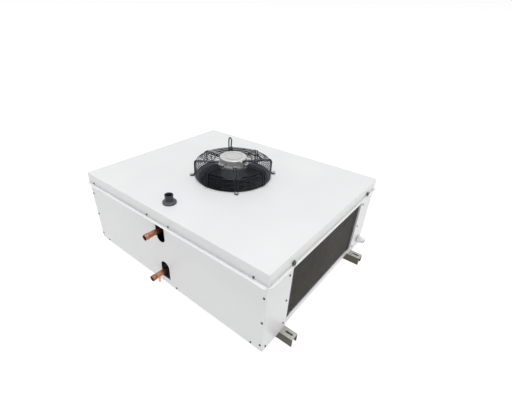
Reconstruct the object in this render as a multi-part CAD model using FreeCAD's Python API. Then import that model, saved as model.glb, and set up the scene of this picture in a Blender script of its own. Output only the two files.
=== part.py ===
# Walk-in unit cooler with one fan and a coil on each side, lying on its ceiling channels.
# X runs along the pipe end, Y from the pipe end to the wiring end, Z up from the channels' tops.
# The origin lies under the fan, in the middle of the four hanging slots.
import FreeCAD, Part
import math
import os

V = FreeCAD.Vector
X, Y, Z = V(1, 0, 0), V(0, 1, 0), V(0, 0, 1)

# Casing sheet metal
casing_width = 1000.0
casing_depth = 820.0
casing_height = 356.0
sheet = 1.5
fit_gap = 0.3
front_post_width = 144.0
rear_post_width = 118.0
post_flange = 20.0
cover_flange = 49.0
cover_bend = 2.5
lip_ends = 14.0
lip_sides = 10.0
lip_notch = 3.0
plate_end_flange = 28.0
plate_coil_flange = 27.5
plate_side_flange = 21.0

# Ceiling channels
channel_height = 40.0
channel_width = 36.0
channel_sheet = 2.0
channel_overhang = 52.0
channel_inset = 17.8
hang_slot_length = 31.0
hang_slot_width = 9.0
hang_slot_edge = 9.0
channel_bolt_pitch = 300.0
channel_bolt_size = 8.0

# Coils
coil_recess = 8.2
tube_pitch = 25.4
row_pitch = 22.0
rows = 4
coil_tube_size = 9.6
tube_hole_gap = 0.1
coil_tube_wall = 0.6
seal_width = 30.0
seal_thickness = 1.5
coil_bottom_rail = 32.5
coil_tube_edge = 10.5
coil_top_rail = 7.5
coil_tube_reach = 6.0

# Pipework
pipe_size = 22.0
pipe_wall = 1.2
pipe_mouth_size = 24.6
pipe_mouth_length = 16.0
pipe_stickout = 60.0
suction_pipe_x = -11.0
suction_pipe_height = 60.0
liquid_pipe_x = -15.0
liquid_pipe_drop = 91.6
manifold_standoff = 50.0
manifold_neck = 2.4
manifold_socket_depth = 10.0
header_end = 8.0
port_size = 9.5
port_reach = 37.0
port_from_mouth = 34.0
feeder_size = 4.8
feeder_wall = 0.8
feeder_bend = 15.0
feeder_standoff = 18.0
distributor_size = 36.0
distributor_length = 40.0
pipe_slot_width = 50.0
liquid_slot_x = -4.0
liquid_slot_depth = 140.0
suction_slot_x = 1.0
suction_slot_height = 116.0

# Fan
impeller_diameter = 296.0
tip_gap = 5.0
blade_count = 5
blade_thickness = 2.6
hub_wall = 3.0
hub_height = 50.0
blade_height_above_cover = 13.0
ring_flange = 25.0
ring_depth = 44.0
ring_flare = 10.0
ring_bend = 13.0
guard_gap = 12.0
guard_height = 68.0
guard_top_slope = 4.5
rib_wire = 4.5
ring_wire = 3.0
wire_bite = 0.8
wire_flats = 8
ring_pitch = 9.0
rib_spacing = 12.0
rib_count = 8
foot_reach = 20.0
rib_bend = 9.0
clamp_length = 10.0
clamp_thickness = 2.0

# Motor
motor_body_diameter = 118.0
motor_wall = 3.0
motor_above_cover = 88.0
motor_flange_diameter = 134.0
motor_flange_thickness = 5.0
motor_lug_reach = 10.0
motor_lug_width = 18.0
motor_lip_reach = 3.0
motor_lip_height = 3.0
rotor_diameter = 102.0
rotor_wall = 6.4
rotor_floor = 4.0
rotor_depth = 58.0
rotor_top_gap = 3.0
air_gap = 0.6
shaft_diameter = 10.0
bearing_diameter = 26.0
bearing_width = 8.0
bearing_tube_wall = 3.0
running_gap = 0.05

# Drain spigot
spigot_x = -18.0
spigot_from_front = 73.0
spigot_flange_diameter = 55.0
spigot_flange_thickness = 7.0
spigot_tube_diameter = 33.2
spigot_bore = 26.0
spigot_mouth_wall = 1.6
spigot_height = 36.0
spigot_thread_length = 20.0
gasket_thickness = 1.5
locknut_thickness = 8.0

# Cable gland on the rear right post
gland_from_jamb = 80.0
gland_height = 47.0
gland_across_flats = 30.0
gland_thread = 25.0
gland_bore = 15.0
gland_cable = 10.0
gland_length = 34.0
gland_washer_thickness = 2.0

# Motor cable and terminal box
cable_size = 6.0
cable_bend = 30.0
cable_lift = 0.3
cable_exit_angle = -15.0
cable_boss_size = 9.6
cable_boss_length = 8.0
cable_bush_size = 8.8
cable_bush_length = 9.0
cable_loop_height = 104.0
cable_loop_width = 42.0
cable_drop_clearance = 11.5
cable_entry_drop = 40.0
tie_width = 4.0
tie_thickness = 1.2
grommet_hole = 13.0
grommet_flange = 20.0
box_width = 110.0
box_depth = 66.0
box_height = 84.0
box_wall = 2.5
box_drop = 80.0

# Screws
screw_size = 4.0
screw_head = 8.0
screw_head_height = 2.6
screw_length = 7.5
cover_screw_height = 9.0
cover_screw_places = (-455.0, -71.0, 55.0, 445.0)
cover_bolt_size = 8.0
cover_bolt_flats = 13.0
cover_bolt_head = 5.5
cover_bolt_drop = 38.0
cover_bolt_front_inset = 13.0
cover_bolt_rear_inset = 31.0
washer_diameter = 17.0
washer_thickness = 1.6
panel_screw_edge = 10.5
panel_screw_heights = (28.0, 141.0, 253.0)
panel_bottom_places = (-442.0, 61.0, 448.0)
panel_bottom_height = 8.0
post_screw_inset = 20.0
post_screw_heights = (35.0, 151.0, 266.0)
post_corner_inset = 17.0
post_corner_height = 15.0
hole_gap = 0.1
run_share = 0.45

# Planes that the sizes above fix
half_width = casing_width / 2
skin_step = sheet + fit_gap
body_x = half_width - skin_step
post_inner_x = body_x - sheet
opening_half = (casing_depth - 2 * skin_step - front_post_width - rear_post_width) / 2
front_y = -(opening_half + front_post_width)
rear_y = opening_half + rear_post_width
plate_bottom = 0.0
plate_top = plate_bottom + sheet
casing_top = plate_bottom + casing_height
cover_under = casing_top - sheet
cover_foot = casing_top - cover_flange
coil_face_x = body_x - coil_recess
coil_inner_x = coil_face_x - rows * row_pitch
fin_half = opening_half - seal_width
fin_bottom = plate_bottom + coil_bottom_rail
fin_top = cover_under - coil_top_rail
circuit_count = int((fin_top - fin_bottom) / (2 * tube_pitch))
level_count = 2 * circuit_count
first_level = fin_bottom + coil_tube_edge
tip_radius = impeller_diameter / 2
throat_radius = tip_radius + tip_gap
ring_radius = throat_radius + ring_flange
ring_top = casing_top + sheet
ring_flat_radius = throat_radius + sheet + ring_bend
wire_radius = throat_radius + guard_gap + ring_wire / 2
rib_radius = wire_radius + (rib_wire + ring_wire) / 2 - wire_bite
foot_radius = rib_radius + foot_reach
foot_height = ring_top + rib_wire / 2
guard_top = casing_top + guard_height
motor_radius = motor_body_diameter / 2
motor_top = casing_top + motor_above_cover
lug_radius = motor_flange_diameter / 2 + motor_lug_reach
rib_end_radius = motor_radius + motor_lip_reach + rib_wire / 2 + rib_spacing / 2 + 1.0
rib_end_height = guard_top - guard_top_slope
flange_top = rib_end_height - rib_wire / 2
flange_bottom = flange_top - motor_flange_thickness
clamp_radius = rib_end_radius
rib_slope = guard_top_slope / (rib_radius - rib_end_radius + rib_spacing / 2)
rib_rise = rib_slope * (clamp_length + rib_spacing) / 2
clamp_bottom = rib_end_height + rib_rise + rib_wire / 2 + fit_gap
rotor_radius = rotor_diameter / 2
rotor_top = flange_bottom - rotor_top_gap
rotor_bottom = rotor_top - rotor_depth
blade_middle = casing_top + blade_height_above_cover
manifold_y = -(fin_half + sheet + manifold_standoff)
manifold_socket_y = manifold_y - pipe_size / 2 - 3.0
feeder_plane_y = manifold_y - feeder_standoff
suction_pipe_z = plate_bottom + suction_pipe_height
liquid_pipe_z = casing_top - liquid_pipe_drop
mouth_y = front_y - skin_step - pipe_stickout
channel_y = opening_half + channel_inset
channel_end = half_width + channel_overhang
hang_slot_x = channel_end - hang_slot_edge - hang_slot_length / 2


def block(x0, x1, y0, y1, z0, z1):
    return Part.makeBox(x1 - x0, y1 - y0, z1 - z0, V(x0, y0, z0))


def rod(radius, start, end):
    along = end - start
    return Part.makeCylinder(radius, along.Length, start, along)


def pipe(outer, inner, start, end):
    return rod(outer, start, end).cut(rod(inner, start, end))


def hexagon(across_flats, start, end):
    """A hexagonal bar between two points."""
    along = end - start
    side = Z if abs(along.z) < 0.5 * along.Length else X
    corner = side.cross(along).normalize() * (across_flats / math.sqrt(3))
    turned = FreeCAD.Rotation(along, 60)
    points = [corner]
    for _ in range(6):
        points.append(turned.multVec(points[-1]))
    face = Part.Face(Part.makePolygon([start + point for point in points]))
    return face.extrude(along)


def joined(shapes):
    shapes = list(shapes)
    if len(shapes) == 1:
        return shapes[0]
    return shapes[0].multiFuse(shapes[1:]).removeSplitter()


def revolved(outline, centre=V(0, 0, 0)):
    """Turn an outline of (radius, height) points about a vertical line."""
    points = [V(radius, 0, height) for radius, height in outline]
    face = Part.Face(Part.makePolygon(points + points[:1]))
    shape = face.revolve(V(0, 0, 0), Z, 360)
    shape.translate(centre)
    return shape


def mirrored_x(shape):
    return shape.mirror(V(0, 0, 0), X)


def polar(radius, degrees, height):
    angle = math.radians(degrees)
    return V(radius * math.cos(angle), radius * math.sin(angle), height)


def end_span(end, near, far):
    """The Y range between two distances from the fan axis, towards one end of the casing."""
    return (near, far) if end > 0 else (-far, -near)


def cord(points, radius, bend):
    """A round tube along straight runs joined by tangent arcs no wider than bend."""
    edges = []
    last = points[0]
    tightest = bend
    for before, corner, after in zip(points, points[1:], points[2:]):
        back = (before - corner).normalize()
        ahead = (after - corner).normalize()
        turn = math.pi - back.getAngle(ahead)
        run_in = before.distanceToPoint(corner) * (2 if before == points[0] else 1)
        run_out = after.distanceToPoint(corner) * (2 if after == points[-1] else 1)
        arc_radius = min(bend, run_share * min(run_in, run_out) / math.tan(turn / 2))
        tightest = min(tightest, arc_radius)
        reach = arc_radius * math.tan(turn / 2)
        inward = (back + ahead).normalize()
        centre = corner + inward * (arc_radius / math.cos(turn / 2))
        arc_start = corner + back * reach
        arc_end = corner + ahead * reach
        edges.append(Part.LineSegment(last, arc_start).toShape())
        edges.append(Part.Arc(arc_start, centre - inward * arc_radius, arc_end).toShape())
        last = arc_end
    edges.append(Part.LineSegment(last, points[-1]).toShape())
    path = Part.Wire(edges)
    ring = Part.Wire(Part.makeCircle(radius, points[0], points[1] - points[0]))
    tube = path.makePipeShell([ring], True, False)
    return tube, path.Length, tightest


def pan_screw(seat, out, length=screw_length):
    """A pan head screw whose head rests at seat and points out."""
    out = V(out).normalize()
    head = rod(screw_head / 2, seat, seat + out * screw_head_height)
    rim = [edge for edge in head.Edges if (edge.CenterOfMass - seat).dot(out) > screw_head_height * 0.9]
    head = head.makeFillet(screw_head_height * 0.45, rim)
    return head.fuse(rod(screw_size / 2, seat - out * length, seat))


def screw_hole(seat, out, size=screw_size, length=screw_length):
    out = V(out).normalize()
    return rod(size / 2 + hole_gap, seat - out * (length + 1), seat + out)


def save(name, shapes):
    shapes = shapes if isinstance(shapes, list) else [shapes]
    shape = shapes[0] if len(shapes) == 1 else Part.Compound(shapes)
    for solid in shape.Solids:
        if not solid.isValid() or solid.Volume <= 0:
            print("bad solid in", name)
    shape.exportStep("parts/" + name + ".step")
    print(name, len(shape.Solids), round(shape.Volume))


# Where the fasteners sit
def cover_screw_seats():
    height = cover_foot + cover_screw_height
    seats = []
    for x in cover_screw_places:
        place = x * casing_width / 1000.0
        seats.append((V(place, front_y - skin_step, height), -Y))
        seats.append((V(place, rear_y + skin_step, height), Y))
    return seats


def cover_bolt_seats():
    seats = []
    for side in (-1, 1):
        for y in (-(opening_half + cover_bolt_front_inset), opening_half + cover_bolt_rear_inset):
            seats.append((V(side * half_width, y, casing_top - cover_bolt_drop), X * side))
    return seats


def panel_screw_seats(end):
    face = front_y if end < 0 else rear_y
    seats = []
    for side in (-1, 1):
        for height in panel_screw_heights:
            place = V(side * (body_x - panel_screw_edge), face, plate_bottom + height)
            seats.append((place, Y * end))
    for x in panel_bottom_places:
        place = V(x * casing_width / 1000.0, face, plate_bottom + panel_bottom_height)
        seats.append((place, Y * end))
    return seats


def post_screw_seats(side, end):
    """Screws of one corner post: three beside the coil and one at the bottom corner."""
    reach = opening_half + post_screw_inset
    corner = (-front_y if end < 0 else rear_y) - post_corner_inset
    seats = [(V(side * body_x, end * reach, plate_bottom + height), X * side) for height in post_screw_heights]
    seats.append((V(side * body_x, end * corner, plate_bottom + post_corner_height), X * side))
    return seats


def channel_bolt_places():
    return [V(step * channel_bolt_pitch, end * channel_y, plate_bottom) for end in (-1, 1) for step in (-1, 0, 1)]


def guard_foot_places():
    return [polar(foot_radius - rib_spacing / 2, 45 + 90 * step, foot_height) for step in range(4)]


def without(shape, holes):
    return shape.cut(Part.Compound(holes)) if holes else shape


# Sheet metal
def ceiling_plate():
    y0 = front_y + 2 * sheet
    y1 = rear_y - 2 * sheet
    coil_edge = coil_face_x + fit_gap + sheet
    end_reach = opening_half + sheet + fit_gap
    flange_x = post_inner_x - post_flange - fit_gap
    pieces = [block(sheet - coil_edge, coil_edge - sheet, y0, y1, plate_bottom, plate_top)]
    for end, edge in ((-1, front_y), (1, rear_y)):
        near, far = end_span(end, end_reach, abs(edge) - 2 * sheet)
        pieces.append(block(-post_inner_x, post_inner_x, near, far, plate_bottom, plate_top))
        near, far = end_span(end, abs(edge) - 2 * sheet, abs(edge) - sheet)
        pieces.append(block(-flange_x, flange_x, near, far, plate_bottom, plate_bottom + plate_end_flange))
        near, far = end_span(end, opening_half + 37.0, abs(edge) - 2 * sheet)
        for side in (-1, 1):
            x0, x1 = sorted((side * (post_inner_x - sheet), side * post_inner_x))
            pieces.append(block(x0, x1, near, far, plate_bottom, plate_bottom + plate_side_flange))
    for side in (-1, 1):
        x0, x1 = sorted((side * (coil_edge - sheet), side * coil_edge))
        pieces.append(block(x0, x1, -opening_half, opening_half, plate_bottom, plate_bottom + plate_coil_flange))
    plate = joined(pieces)
    holes = [screw_hole(*seat) for end in (-1, 1) for seat in panel_screw_seats(end)]
    holes += [screw_hole(*post_screw_seats(side, end)[-1]) for side in (-1, 1) for end in (-1, 1)]
    holes += [rod(channel_bolt_size / 2 + hole_gap, place - Z * 5, place + Z * 5) for place in channel_bolt_places()]
    return without(plate, holes)


def u_slot(centre_x, round_end, open_end):
    """A U-shaped cutter through the pipe end panel."""
    radius = pipe_slot_width / 2
    middle = round_end + radius if open_end > round_end else round_end - radius
    z0, z1 = sorted((middle, open_end))
    y0, y1 = front_y - 5, front_y + 5
    straight = block(centre_x - radius, centre_x + radius, y0, y1, z0, z1)
    return straight.fuse(rod(radius, V(centre_x, y0, middle), V(centre_x, y1, middle)))


def end_panel(end):
    face = front_y if end < 0 else rear_y
    y0, y1 = sorted((face, face - end * sheet))
    panel = block(-body_x, body_x, y0, y1, plate_bottom, cover_under)
    holes = [screw_hole(*seat) for seat in panel_screw_seats(end)]
    holes += [screw_hole(*seat) for seat in cover_screw_seats() if seat[1].y * end > 0]
    if end < 0:
        holes.append(u_slot(liquid_slot_x, casing_top - liquid_slot_depth, cover_under + 5))
        holes.append(u_slot(suction_slot_x, plate_bottom + suction_slot_height, plate_bottom - 5))
    return without(panel, holes)


def corner_post(side, end):
    """A folded post: outer face, flange behind the end panel and jamb beside the coil."""
    edge = (-front_y if end < 0 else rear_y) - sheet
    pieces = []
    near, far = end_span(end, opening_half, edge)
    pieces.append(block(post_inner_x, body_x, near, far, plate_bottom, cover_under))
    near, far = end_span(end, edge - sheet, edge)
    pieces.append(block(post_inner_x - post_flange, post_inner_x, near, far, plate_bottom, cover_under))
    near, far = end_span(end, opening_half, opening_half + sheet)
    pieces.append(block(coil_face_x + fit_gap, post_inner_x, near, far, plate_bottom, cover_under))
    post = joined(pieces)
    if side < 0:
        post = mirrored_x(post)
    holes = [screw_hole(*seat) for seat in post_screw_seats(side, end)]
    holes += [screw_hole(*seat) for seat in panel_screw_seats(end)]
    holes += [screw_hole(seat, out) for seat, out in cover_screw_seats()]
    holes += [screw_hole(seat, out, cover_bolt_size, 16.0) for seat, out in cover_bolt_seats()]
    if side > 0 and end > 0:
        start = gland_centre()
        holes.append(rod(gland_thread / 2 + hole_gap, start - X * 10, start + X * 10))
    return without(post, holes)


def drain_pan_cover():
    y0, y1 = front_y - skin_step, rear_y + skin_step
    outer = block(-half_width, half_width, y0, y1, cover_foot, casing_top)
    rims = [edge for edge in outer.Edges if edge.CenterOfMass.z > casing_top - cover_flange * 0.6]
    outer = outer.makeFillet(cover_bend, rims)
    inside = block(-half_width + sheet, half_width - sheet, y0 + sheet, y1 - sheet, cover_foot - 1, cover_under)
    tray = outer.cut(inside)
    notch = half_width - lip_notch
    lips = [block(-notch, notch, y0 - lip_ends, y0, cover_foot, cover_foot + sheet)]
    lips.append(block(-notch, notch, y1, y1 + lip_ends, cover_foot, cover_foot + sheet))
    lips.append(block(-half_width - lip_sides, -half_width, y0, y1, cover_foot, cover_foot + sheet))
    lips.append(block(half_width, half_width + lip_sides, y0, y1, cover_foot, cover_foot + sheet))
    tray = joined([tray] + lips)
    holes = [screw_hole(*seat) for seat in cover_screw_seats()]
    holes += [screw_hole(seat, out, cover_bolt_size, 16.0) for seat, out in cover_bolt_seats()]
    holes += [screw_hole(place, Z, screw_size, 20.0) for place in guard_foot_places()]
    holes.append(rod(ring_flat_radius + fit_gap, Z * (casing_top - 5), Z * (casing_top + 5)))
    drain = spigot_centre()
    holes.append(rod(spigot_tube_diameter / 2 + hole_gap, drain - Z * 5, drain + Z * 5))
    centre = cable_drop()
    holes.append(rod(grommet_hole / 2 + hole_gap, centre - Z * 5, centre + Z * 5))
    return without(tray, holes)


def fan_ring():
    """The bellmouth: a flange on the cover, a throat round the blade tips and a flared mouth."""
    r0, r1 = throat_radius, throat_radius + sheet
    foot = ring_top - ring_depth
    bend_r = ring_flat_radius
    outline = [V(ring_radius, 0, ring_top), V(bend_r, 0, ring_top)]
    edges = [Part.LineSegment(outline[0], outline[1]).toShape()]

    def arc(a, b, c):
        edges.append(Part.Arc(a, b, c).toShape())

    def line(a, b):
        edges.append(Part.LineSegment(a, b).toShape())

    half = math.sqrt(0.5)
    outer_bend = ring_bend + sheet
    arc(outline[1], V(bend_r - outer_bend * half, 0, ring_top - outer_bend * (1 - half)), V(r0, 0, ring_top - outer_bend))
    flare_top = foot + ring_flare
    line(V(r0, 0, ring_top - outer_bend), V(r0, 0, flare_top))
    big = ring_flare
    small = ring_flare - sheet
    centre_r = r0 + big
    arc(V(r0, 0, flare_top), V(centre_r - big * half, 0, flare_top - big * half), V(centre_r, 0, foot))
    line(V(centre_r, 0, foot), V(centre_r, 0, foot + sheet))
    arc(V(centre_r, 0, foot + sheet), V(centre_r - small * half, 0, flare_top - small * half), V(r1, 0, flare_top))
    line(V(r1, 0, flare_top), V(r1, 0, ring_top - outer_bend))
    arc(V(r1, 0, ring_top - outer_bend), V(bend_r - ring_bend * half, 0, casing_top - ring_bend * (1 - half)),
        V(bend_r, 0, casing_top))
    line(V(bend_r, 0, casing_top), V(ring_radius, 0, casing_top))
    line(V(ring_radius, 0, casing_top), outline[0])
    return Part.Face(Part.Wire(Part.__sortEdges__(edges))).revolve(V(0, 0, 0), Z, 360)


def mounting_channel(end):
    """An inverted U along X with a hanging slot at each end."""
    y0, y1 = end * channel_y - channel_width / 2, end * channel_y + channel_width / 2
    web = plate_bottom - channel_sheet
    bar = block(-channel_end, channel_end, y0, y1, plate_bottom - channel_height, plate_bottom)
    inside = block(-channel_end, channel_end, y0 + channel_sheet, y1 - channel_sheet,
                   plate_bottom - channel_height, web)
    bar = bar.cut(inside)
    middle = end * channel_y
    reach = (hang_slot_length - hang_slot_width) / 2
    radius = hang_slot_width / 2
    z0, z1 = web - 1, plate_bottom + 1
    holes = []
    for side in (-1, 1):
        x = side * hang_slot_x
        straight = block(x - reach, x + reach, middle - radius, middle + radius, z0, z1)
        round_ends = [rod(radius, V(x + step * reach, middle, z0), V(x + step * reach, middle, z1)) for step in (-1, 1)]
        holes.append(joined([straight] + round_ends))
    holes += [rod(channel_bolt_size / 2 + hole_gap, place - Z * 5, place + Z * 5)
              for place in channel_bolt_places() if place.y * end > 0]
    return without(bar, holes)


# Coils
def tube_places():
    """Row number, level number and centre of each tube in the right coil."""
    places = []
    for row in range(rows):
        for level in range(level_count):
            x = coil_face_x - row_pitch * (row + 0.5)
            places.append((row, level, V(x, 0, first_level + tube_pitch * level)))
    return places


def fin_pack():
    pack = block(coil_inner_x, coil_face_x, -fin_half, fin_half, fin_bottom, fin_top)
    holes = []
    for _, _, place in tube_places():
        holes.append(rod(coil_tube_size / 2 + tube_hole_gap, place - Y * (fin_half + 1), place + Y * (fin_half + 1)))
    return without(pack, holes)


def coil_tubes():
    reach = fin_half + sheet + coil_tube_reach
    outer = coil_tube_size / 2
    inner = outer - coil_tube_wall
    return [pipe(outer, inner, place - Y * reach, place + Y * reach) for _, _, place in tube_places()]


def tube_plate(end):
    """A folded bulkhead that carries both coils and steps out behind the corner posts."""
    pieces = []
    near, far = end_span(end, fin_half, fin_half + sheet)
    pieces.append(block(-coil_face_x, coil_face_x, near, far, plate_top, cover_under))
    step_near = opening_half + sheet + fit_gap
    flange_far = step_near + 33.0
    for side in (-1, 1):
        x0, x1 = sorted((side * (coil_face_x - sheet), side * coil_face_x))
        near, far = end_span(end, fin_half, step_near + sheet)
        pieces.append(block(x0, x1, near, far, plate_top, cover_under))
        x0, x1 = sorted((side * (coil_face_x - sheet), side * post_inner_x))
        near, far = end_span(end, step_near, step_near + sheet)
        pieces.append(block(x0, x1, near, far, plate_top, cover_under))
        x0, x1 = sorted((side * (post_inner_x - sheet), side * post_inner_x))
        near, far = end_span(end, step_near, flange_far)
        pieces.append(block(x0, x1, near, far, plate_top, cover_under))
    foot = seal_width * 0.7
    near, far = end_span(end, fin_half, fin_half + foot)
    pieces.append(block(-coil_inner_x, coil_inner_x, near, far, plate_top, plate_top + sheet))
    pieces.append(block(-coil_inner_x, coil_inner_x, near, far, cover_under - sheet, cover_under))
    plate = joined(pieces)
    holes = []
    for _, _, place in tube_places():
        for centre in (place, V(-place.x, 0, place.z)):
            start = centre + Y * end * (fin_half - 1)
            holes.append(rod(coil_tube_size / 2 + tube_hole_gap, start, start + Y * end * (sheet + 2)))
    for side in (-1, 1):
        holes += [screw_hole(*seat) for seat in post_screw_seats(side, end)[:-1]]
    holes += [screw_hole(seat, out, cover_bolt_size, 16.0) for seat, out in cover_bolt_seats()]
    if end > 0:
        start = V(cable_drop().x, fin_half - 1, casing_top - cable_entry_drop)
        holes.append(rod(grommet_hole / 2 + hole_gap, start, start + Y * (sheet + 2)))
    return without(plate, holes)


def coil_seals():
    """Dark foam strips on the tube plates' edges, at both ends of the right coil."""
    strips = []
    for end in (-1, 1):
        near, far = end_span(end, fin_half + fit_gap, opening_half - fit_gap)
        x1 = coil_face_x + seal_thickness
        strips.append(block(coil_face_x, x1, near, far, plate_bottom + plate_coil_flange + fit_gap, cover_under))
    return strips


def coil_rails():
    """The galvanised U rails under and over the right coil's fins."""
    rails = []
    for z0, z1, web in ((plate_top, fin_bottom, fin_bottom - sheet), (fin_top, cover_under, fin_top)):
        legs = [block(coil_inner_x, coil_inner_x + sheet, -fin_half, fin_half, z0, z1)]
        legs.append(block(coil_face_x - sheet, coil_face_x, -fin_half, fin_half, z0, z1))
        legs.append(block(coil_inner_x, coil_face_x, -fin_half, fin_half, web, web + sheet))
        rails.append(joined(legs))
    return rails


def return_bend(first, second, end):
    """A half ring that joins two tube ends."""
    reach = end * (fin_half + sheet + coil_tube_reach)
    start = V(first.x, reach, first.z)
    stop = V(second.x, reach, second.z)
    middle = (start + stop) * 0.5
    axis = (stop - start).cross(Y)
    outer = Part.Wire(Part.makeCircle(coil_tube_size / 2, start, Y))
    inner = Part.Wire(Part.makeCircle(coil_tube_size / 2 - coil_tube_wall, start, Y))
    face = Part.Face(outer).cut(Part.Face(inner)).Faces[0]
    bend = face.revolve(middle, axis, 180)
    if (bend.CenterOfMass.y - reach) * end < 0:
        bend = face.revolve(middle, axis, -180)
    return bend


def return_bends():
    """Each circuit goes in at the inner row, up and down through the rows and out at the outer row."""
    centres = {(row, level): place for row, level, place in tube_places()}
    bends = []
    for circuit in range(circuit_count):
        low, high = 2 * circuit, 2 * circuit + 1
        level = high
        for row in reversed(range(rows)):
            bends.append(return_bend(centres[row, low], centres[row, high], 1))
            if row > 0:
                bends.append(return_bend(centres[row, level], centres[row - 1, level], -1))
                level = low if level == high else high
    return bends


def circuit_levels():
    return [first_level + 2 * tube_pitch * circuit for circuit in range(circuit_count)]


# Pipework
def suction_manifold():
    """A header in front of each coil, joined by a cross pipe with a socket for the suction pipe."""
    outer_radius = pipe_size / 2
    bore = outer_radius - pipe_wall
    header_x = coil_face_x - row_pitch * 0.5
    levels = circuit_levels()
    low, high = levels[0] - header_end, levels[-1] + header_end
    tube_end = -(fin_half + sheet + coil_tube_reach)
    solids, bores = [], []
    for side in (-1, 1):
        x = side * header_x
        solids.append(rod(outer_radius, V(x, manifold_y, low), V(x, manifold_y, high)))
        bores.append(rod(bore, V(x, manifold_y, low + pipe_wall), V(x, manifold_y, high - pipe_wall)))
        for level in levels:
            solids.append(rod(coil_tube_size / 2, V(x, manifold_y, level), V(x, tube_end, level)))
    solids.append(rod(outer_radius, V(-header_x, manifold_y, suction_pipe_z), V(header_x, manifold_y, suction_pipe_z)))
    bores.append(rod(bore, V(-header_x, manifold_y, suction_pipe_z), V(header_x, manifold_y, suction_pipe_z)))
    middle = V(suction_pipe_x, manifold_y, suction_pipe_z)
    floor = V(suction_pipe_x, manifold_socket_y, suction_pipe_z)
    mouth = floor - Y * manifold_socket_depth
    solids.append(rod(outer_radius - manifold_neck, middle, floor))
    solids.append(rod(outer_radius + pipe_wall, floor + Y * pipe_wall, mouth))
    bores.append(rod(outer_radius, floor, mouth))
    bores.append(rod(bore - manifold_neck, middle, floor))
    return joined(solids).cut(joined(bores))


def open_pipe(x, z, inner_end):
    """A copper pipe with a wider open mouth in front of the pipe end panel."""
    outer_radius = pipe_size / 2
    start = V(x, mouth_y, z)
    shoulder = start + Y * pipe_mouth_length
    body = rod(outer_radius, start, V(x, inner_end, z))
    mouth = rod(pipe_mouth_size / 2, start, shoulder)
    neck = Part.makeCone(pipe_mouth_size / 2, outer_radius, 3.0, shoulder, Y)
    socket = rod(pipe_mouth_size / 2 - pipe_wall, start, shoulder)
    inside = rod(outer_radius - pipe_wall, start, V(x, inner_end, z))
    return joined([body, mouth, neck]).cut(socket.fuse(inside))


def suction_pipe():
    pipe_body = open_pipe(suction_pipe_x, suction_pipe_z, manifold_socket_y)
    top = V(suction_pipe_x, mouth_y + port_from_mouth, suction_pipe_z)
    foot = top - Z * port_reach
    port = rod(port_size / 2, top, foot)
    bore = rod(port_size / 2 - pipe_wall, top, foot)
    inside = rod(pipe_size / 2 - pipe_wall, V(suction_pipe_x, mouth_y, suction_pipe_z), top + Y * 30.0)
    return pipe_body.fuse(port.cut(inside)).cut(bore)


def distributor_face_y():
    return feeder_plane_y - feeder_bend - 14.0


def distributor():
    """A brass cone between the liquid pipe and the feeder tubes."""
    face_y = distributor_face_y()
    nose_y = face_y - distributor_length
    nose = V(liquid_pipe_x, nose_y, liquid_pipe_z)
    collar = rod(pipe_size / 2 + 2.0, nose, nose + Y * 14.0)
    cone = Part.makeCone(pipe_size / 2 + 2.0, distributor_size / 2, distributor_length - 24.0, nose + Y * 14.0, Y)
    head = rod(distributor_size / 2, nose + Y * (distributor_length - 10.0), nose + Y * distributor_length)
    socket = rod(pipe_size / 2, nose, nose + Y * 10.0)
    return joined([collar, cone, head]).cut(socket)


def feeder_tubes(side):
    """Thin tubes that fan out from the distributor to the inner row of one coil."""
    inlet_x = side * (coil_face_x - row_pitch * (rows - 0.5))
    tube_end = -(fin_half + sheet + coil_tube_reach)
    face_y = distributor_face_y()
    spread = 150.0 / max(circuit_count - 1, 1)
    tubes = []
    for number, level in enumerate(circuit_levels()):
        angle = 255.0 - spread * number if side < 0 else -75.0 + spread * number
        start = V(liquid_pipe_x, face_y, liquid_pipe_z)
        radius = distributor_size / 2 - feeder_size
        start += V(math.cos(math.radians(angle)), 0, math.sin(math.radians(angle))) * radius
        turn_in = V(start.x, feeder_plane_y, start.z)
        turn_out = V(inlet_x, feeder_plane_y, level)
        route = [start, turn_in, turn_out, V(inlet_x, tube_end, level)]
        tube, _, _ = cord(route, feeder_size / 2, feeder_bend)
        bore, _, _ = cord(route, feeder_size / 2 - feeder_wall, feeder_bend)
        reducer = Part.makeCone(feeder_size / 2, coil_tube_size / 2, 7.0, route[-1] - Y * 7.0, Y)
        tubes.append(tube.fuse(reducer).cut(bore))
    return tubes


# Fan guard
def rib_side(offset, foot):
    """One leg of a rib in its own plane: from the motor out, over the corner and down to the cover."""
    leg = [V(rib_end_radius - rib_spacing / 2, offset, rib_end_height), V(rib_radius, offset, guard_top)]
    if not foot:
        return leg + [V(rib_radius, offset, ring_top + fit_gap)]
    return leg + [V(rib_radius, offset, foot_height), V(foot_radius, offset, foot_height)]


def guard_rib(number):
    """A wire hairpin round the motor's clamp; every second one also closes in a loop at its foot."""
    foot = number % 2 == 1
    near = rib_side(-rib_spacing / 2, foot)
    far = rib_side(rib_spacing / 2, foot)
    if not foot:
        rib, _, _ = cord(near[::-1] + far, rib_wire / 2, rib_bend)
    else:
        seam = (near[0] + near[1]) * 0.5
        first, _, _ = cord([seam] + near[1:] + far[::-1][:-1] + [(far[0] + far[1]) * 0.5], rib_wire / 2, rib_bend)
        second, _, _ = cord([(far[0] + far[1]) * 0.5, far[0], near[0], seam], rib_wire / 2, rib_bend)
        rib = joined([first, second])
    rib.rotate(V(0, 0, 0), Z, 360.0 / rib_count * number)
    return rib


def guard_ring(radius, height):
    """A hoop of wire drawn with flats that touch the round wire's skin, so that its mesh stays light."""
    corner = ring_wire / 2 / math.cos(math.pi / wire_flats)
    corners = []
    for number in range(wire_flats):
        angle = 2 * math.pi * (number + 0.5) / wire_flats
        corners.append(V(radius + corner * math.cos(angle), 0, height + corner * math.sin(angle)))
    section = Part.Face(Part.makePolygon(corners + corners[:1]))
    return section.revolve(V(0, 0, 0), Z, 360)


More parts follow.
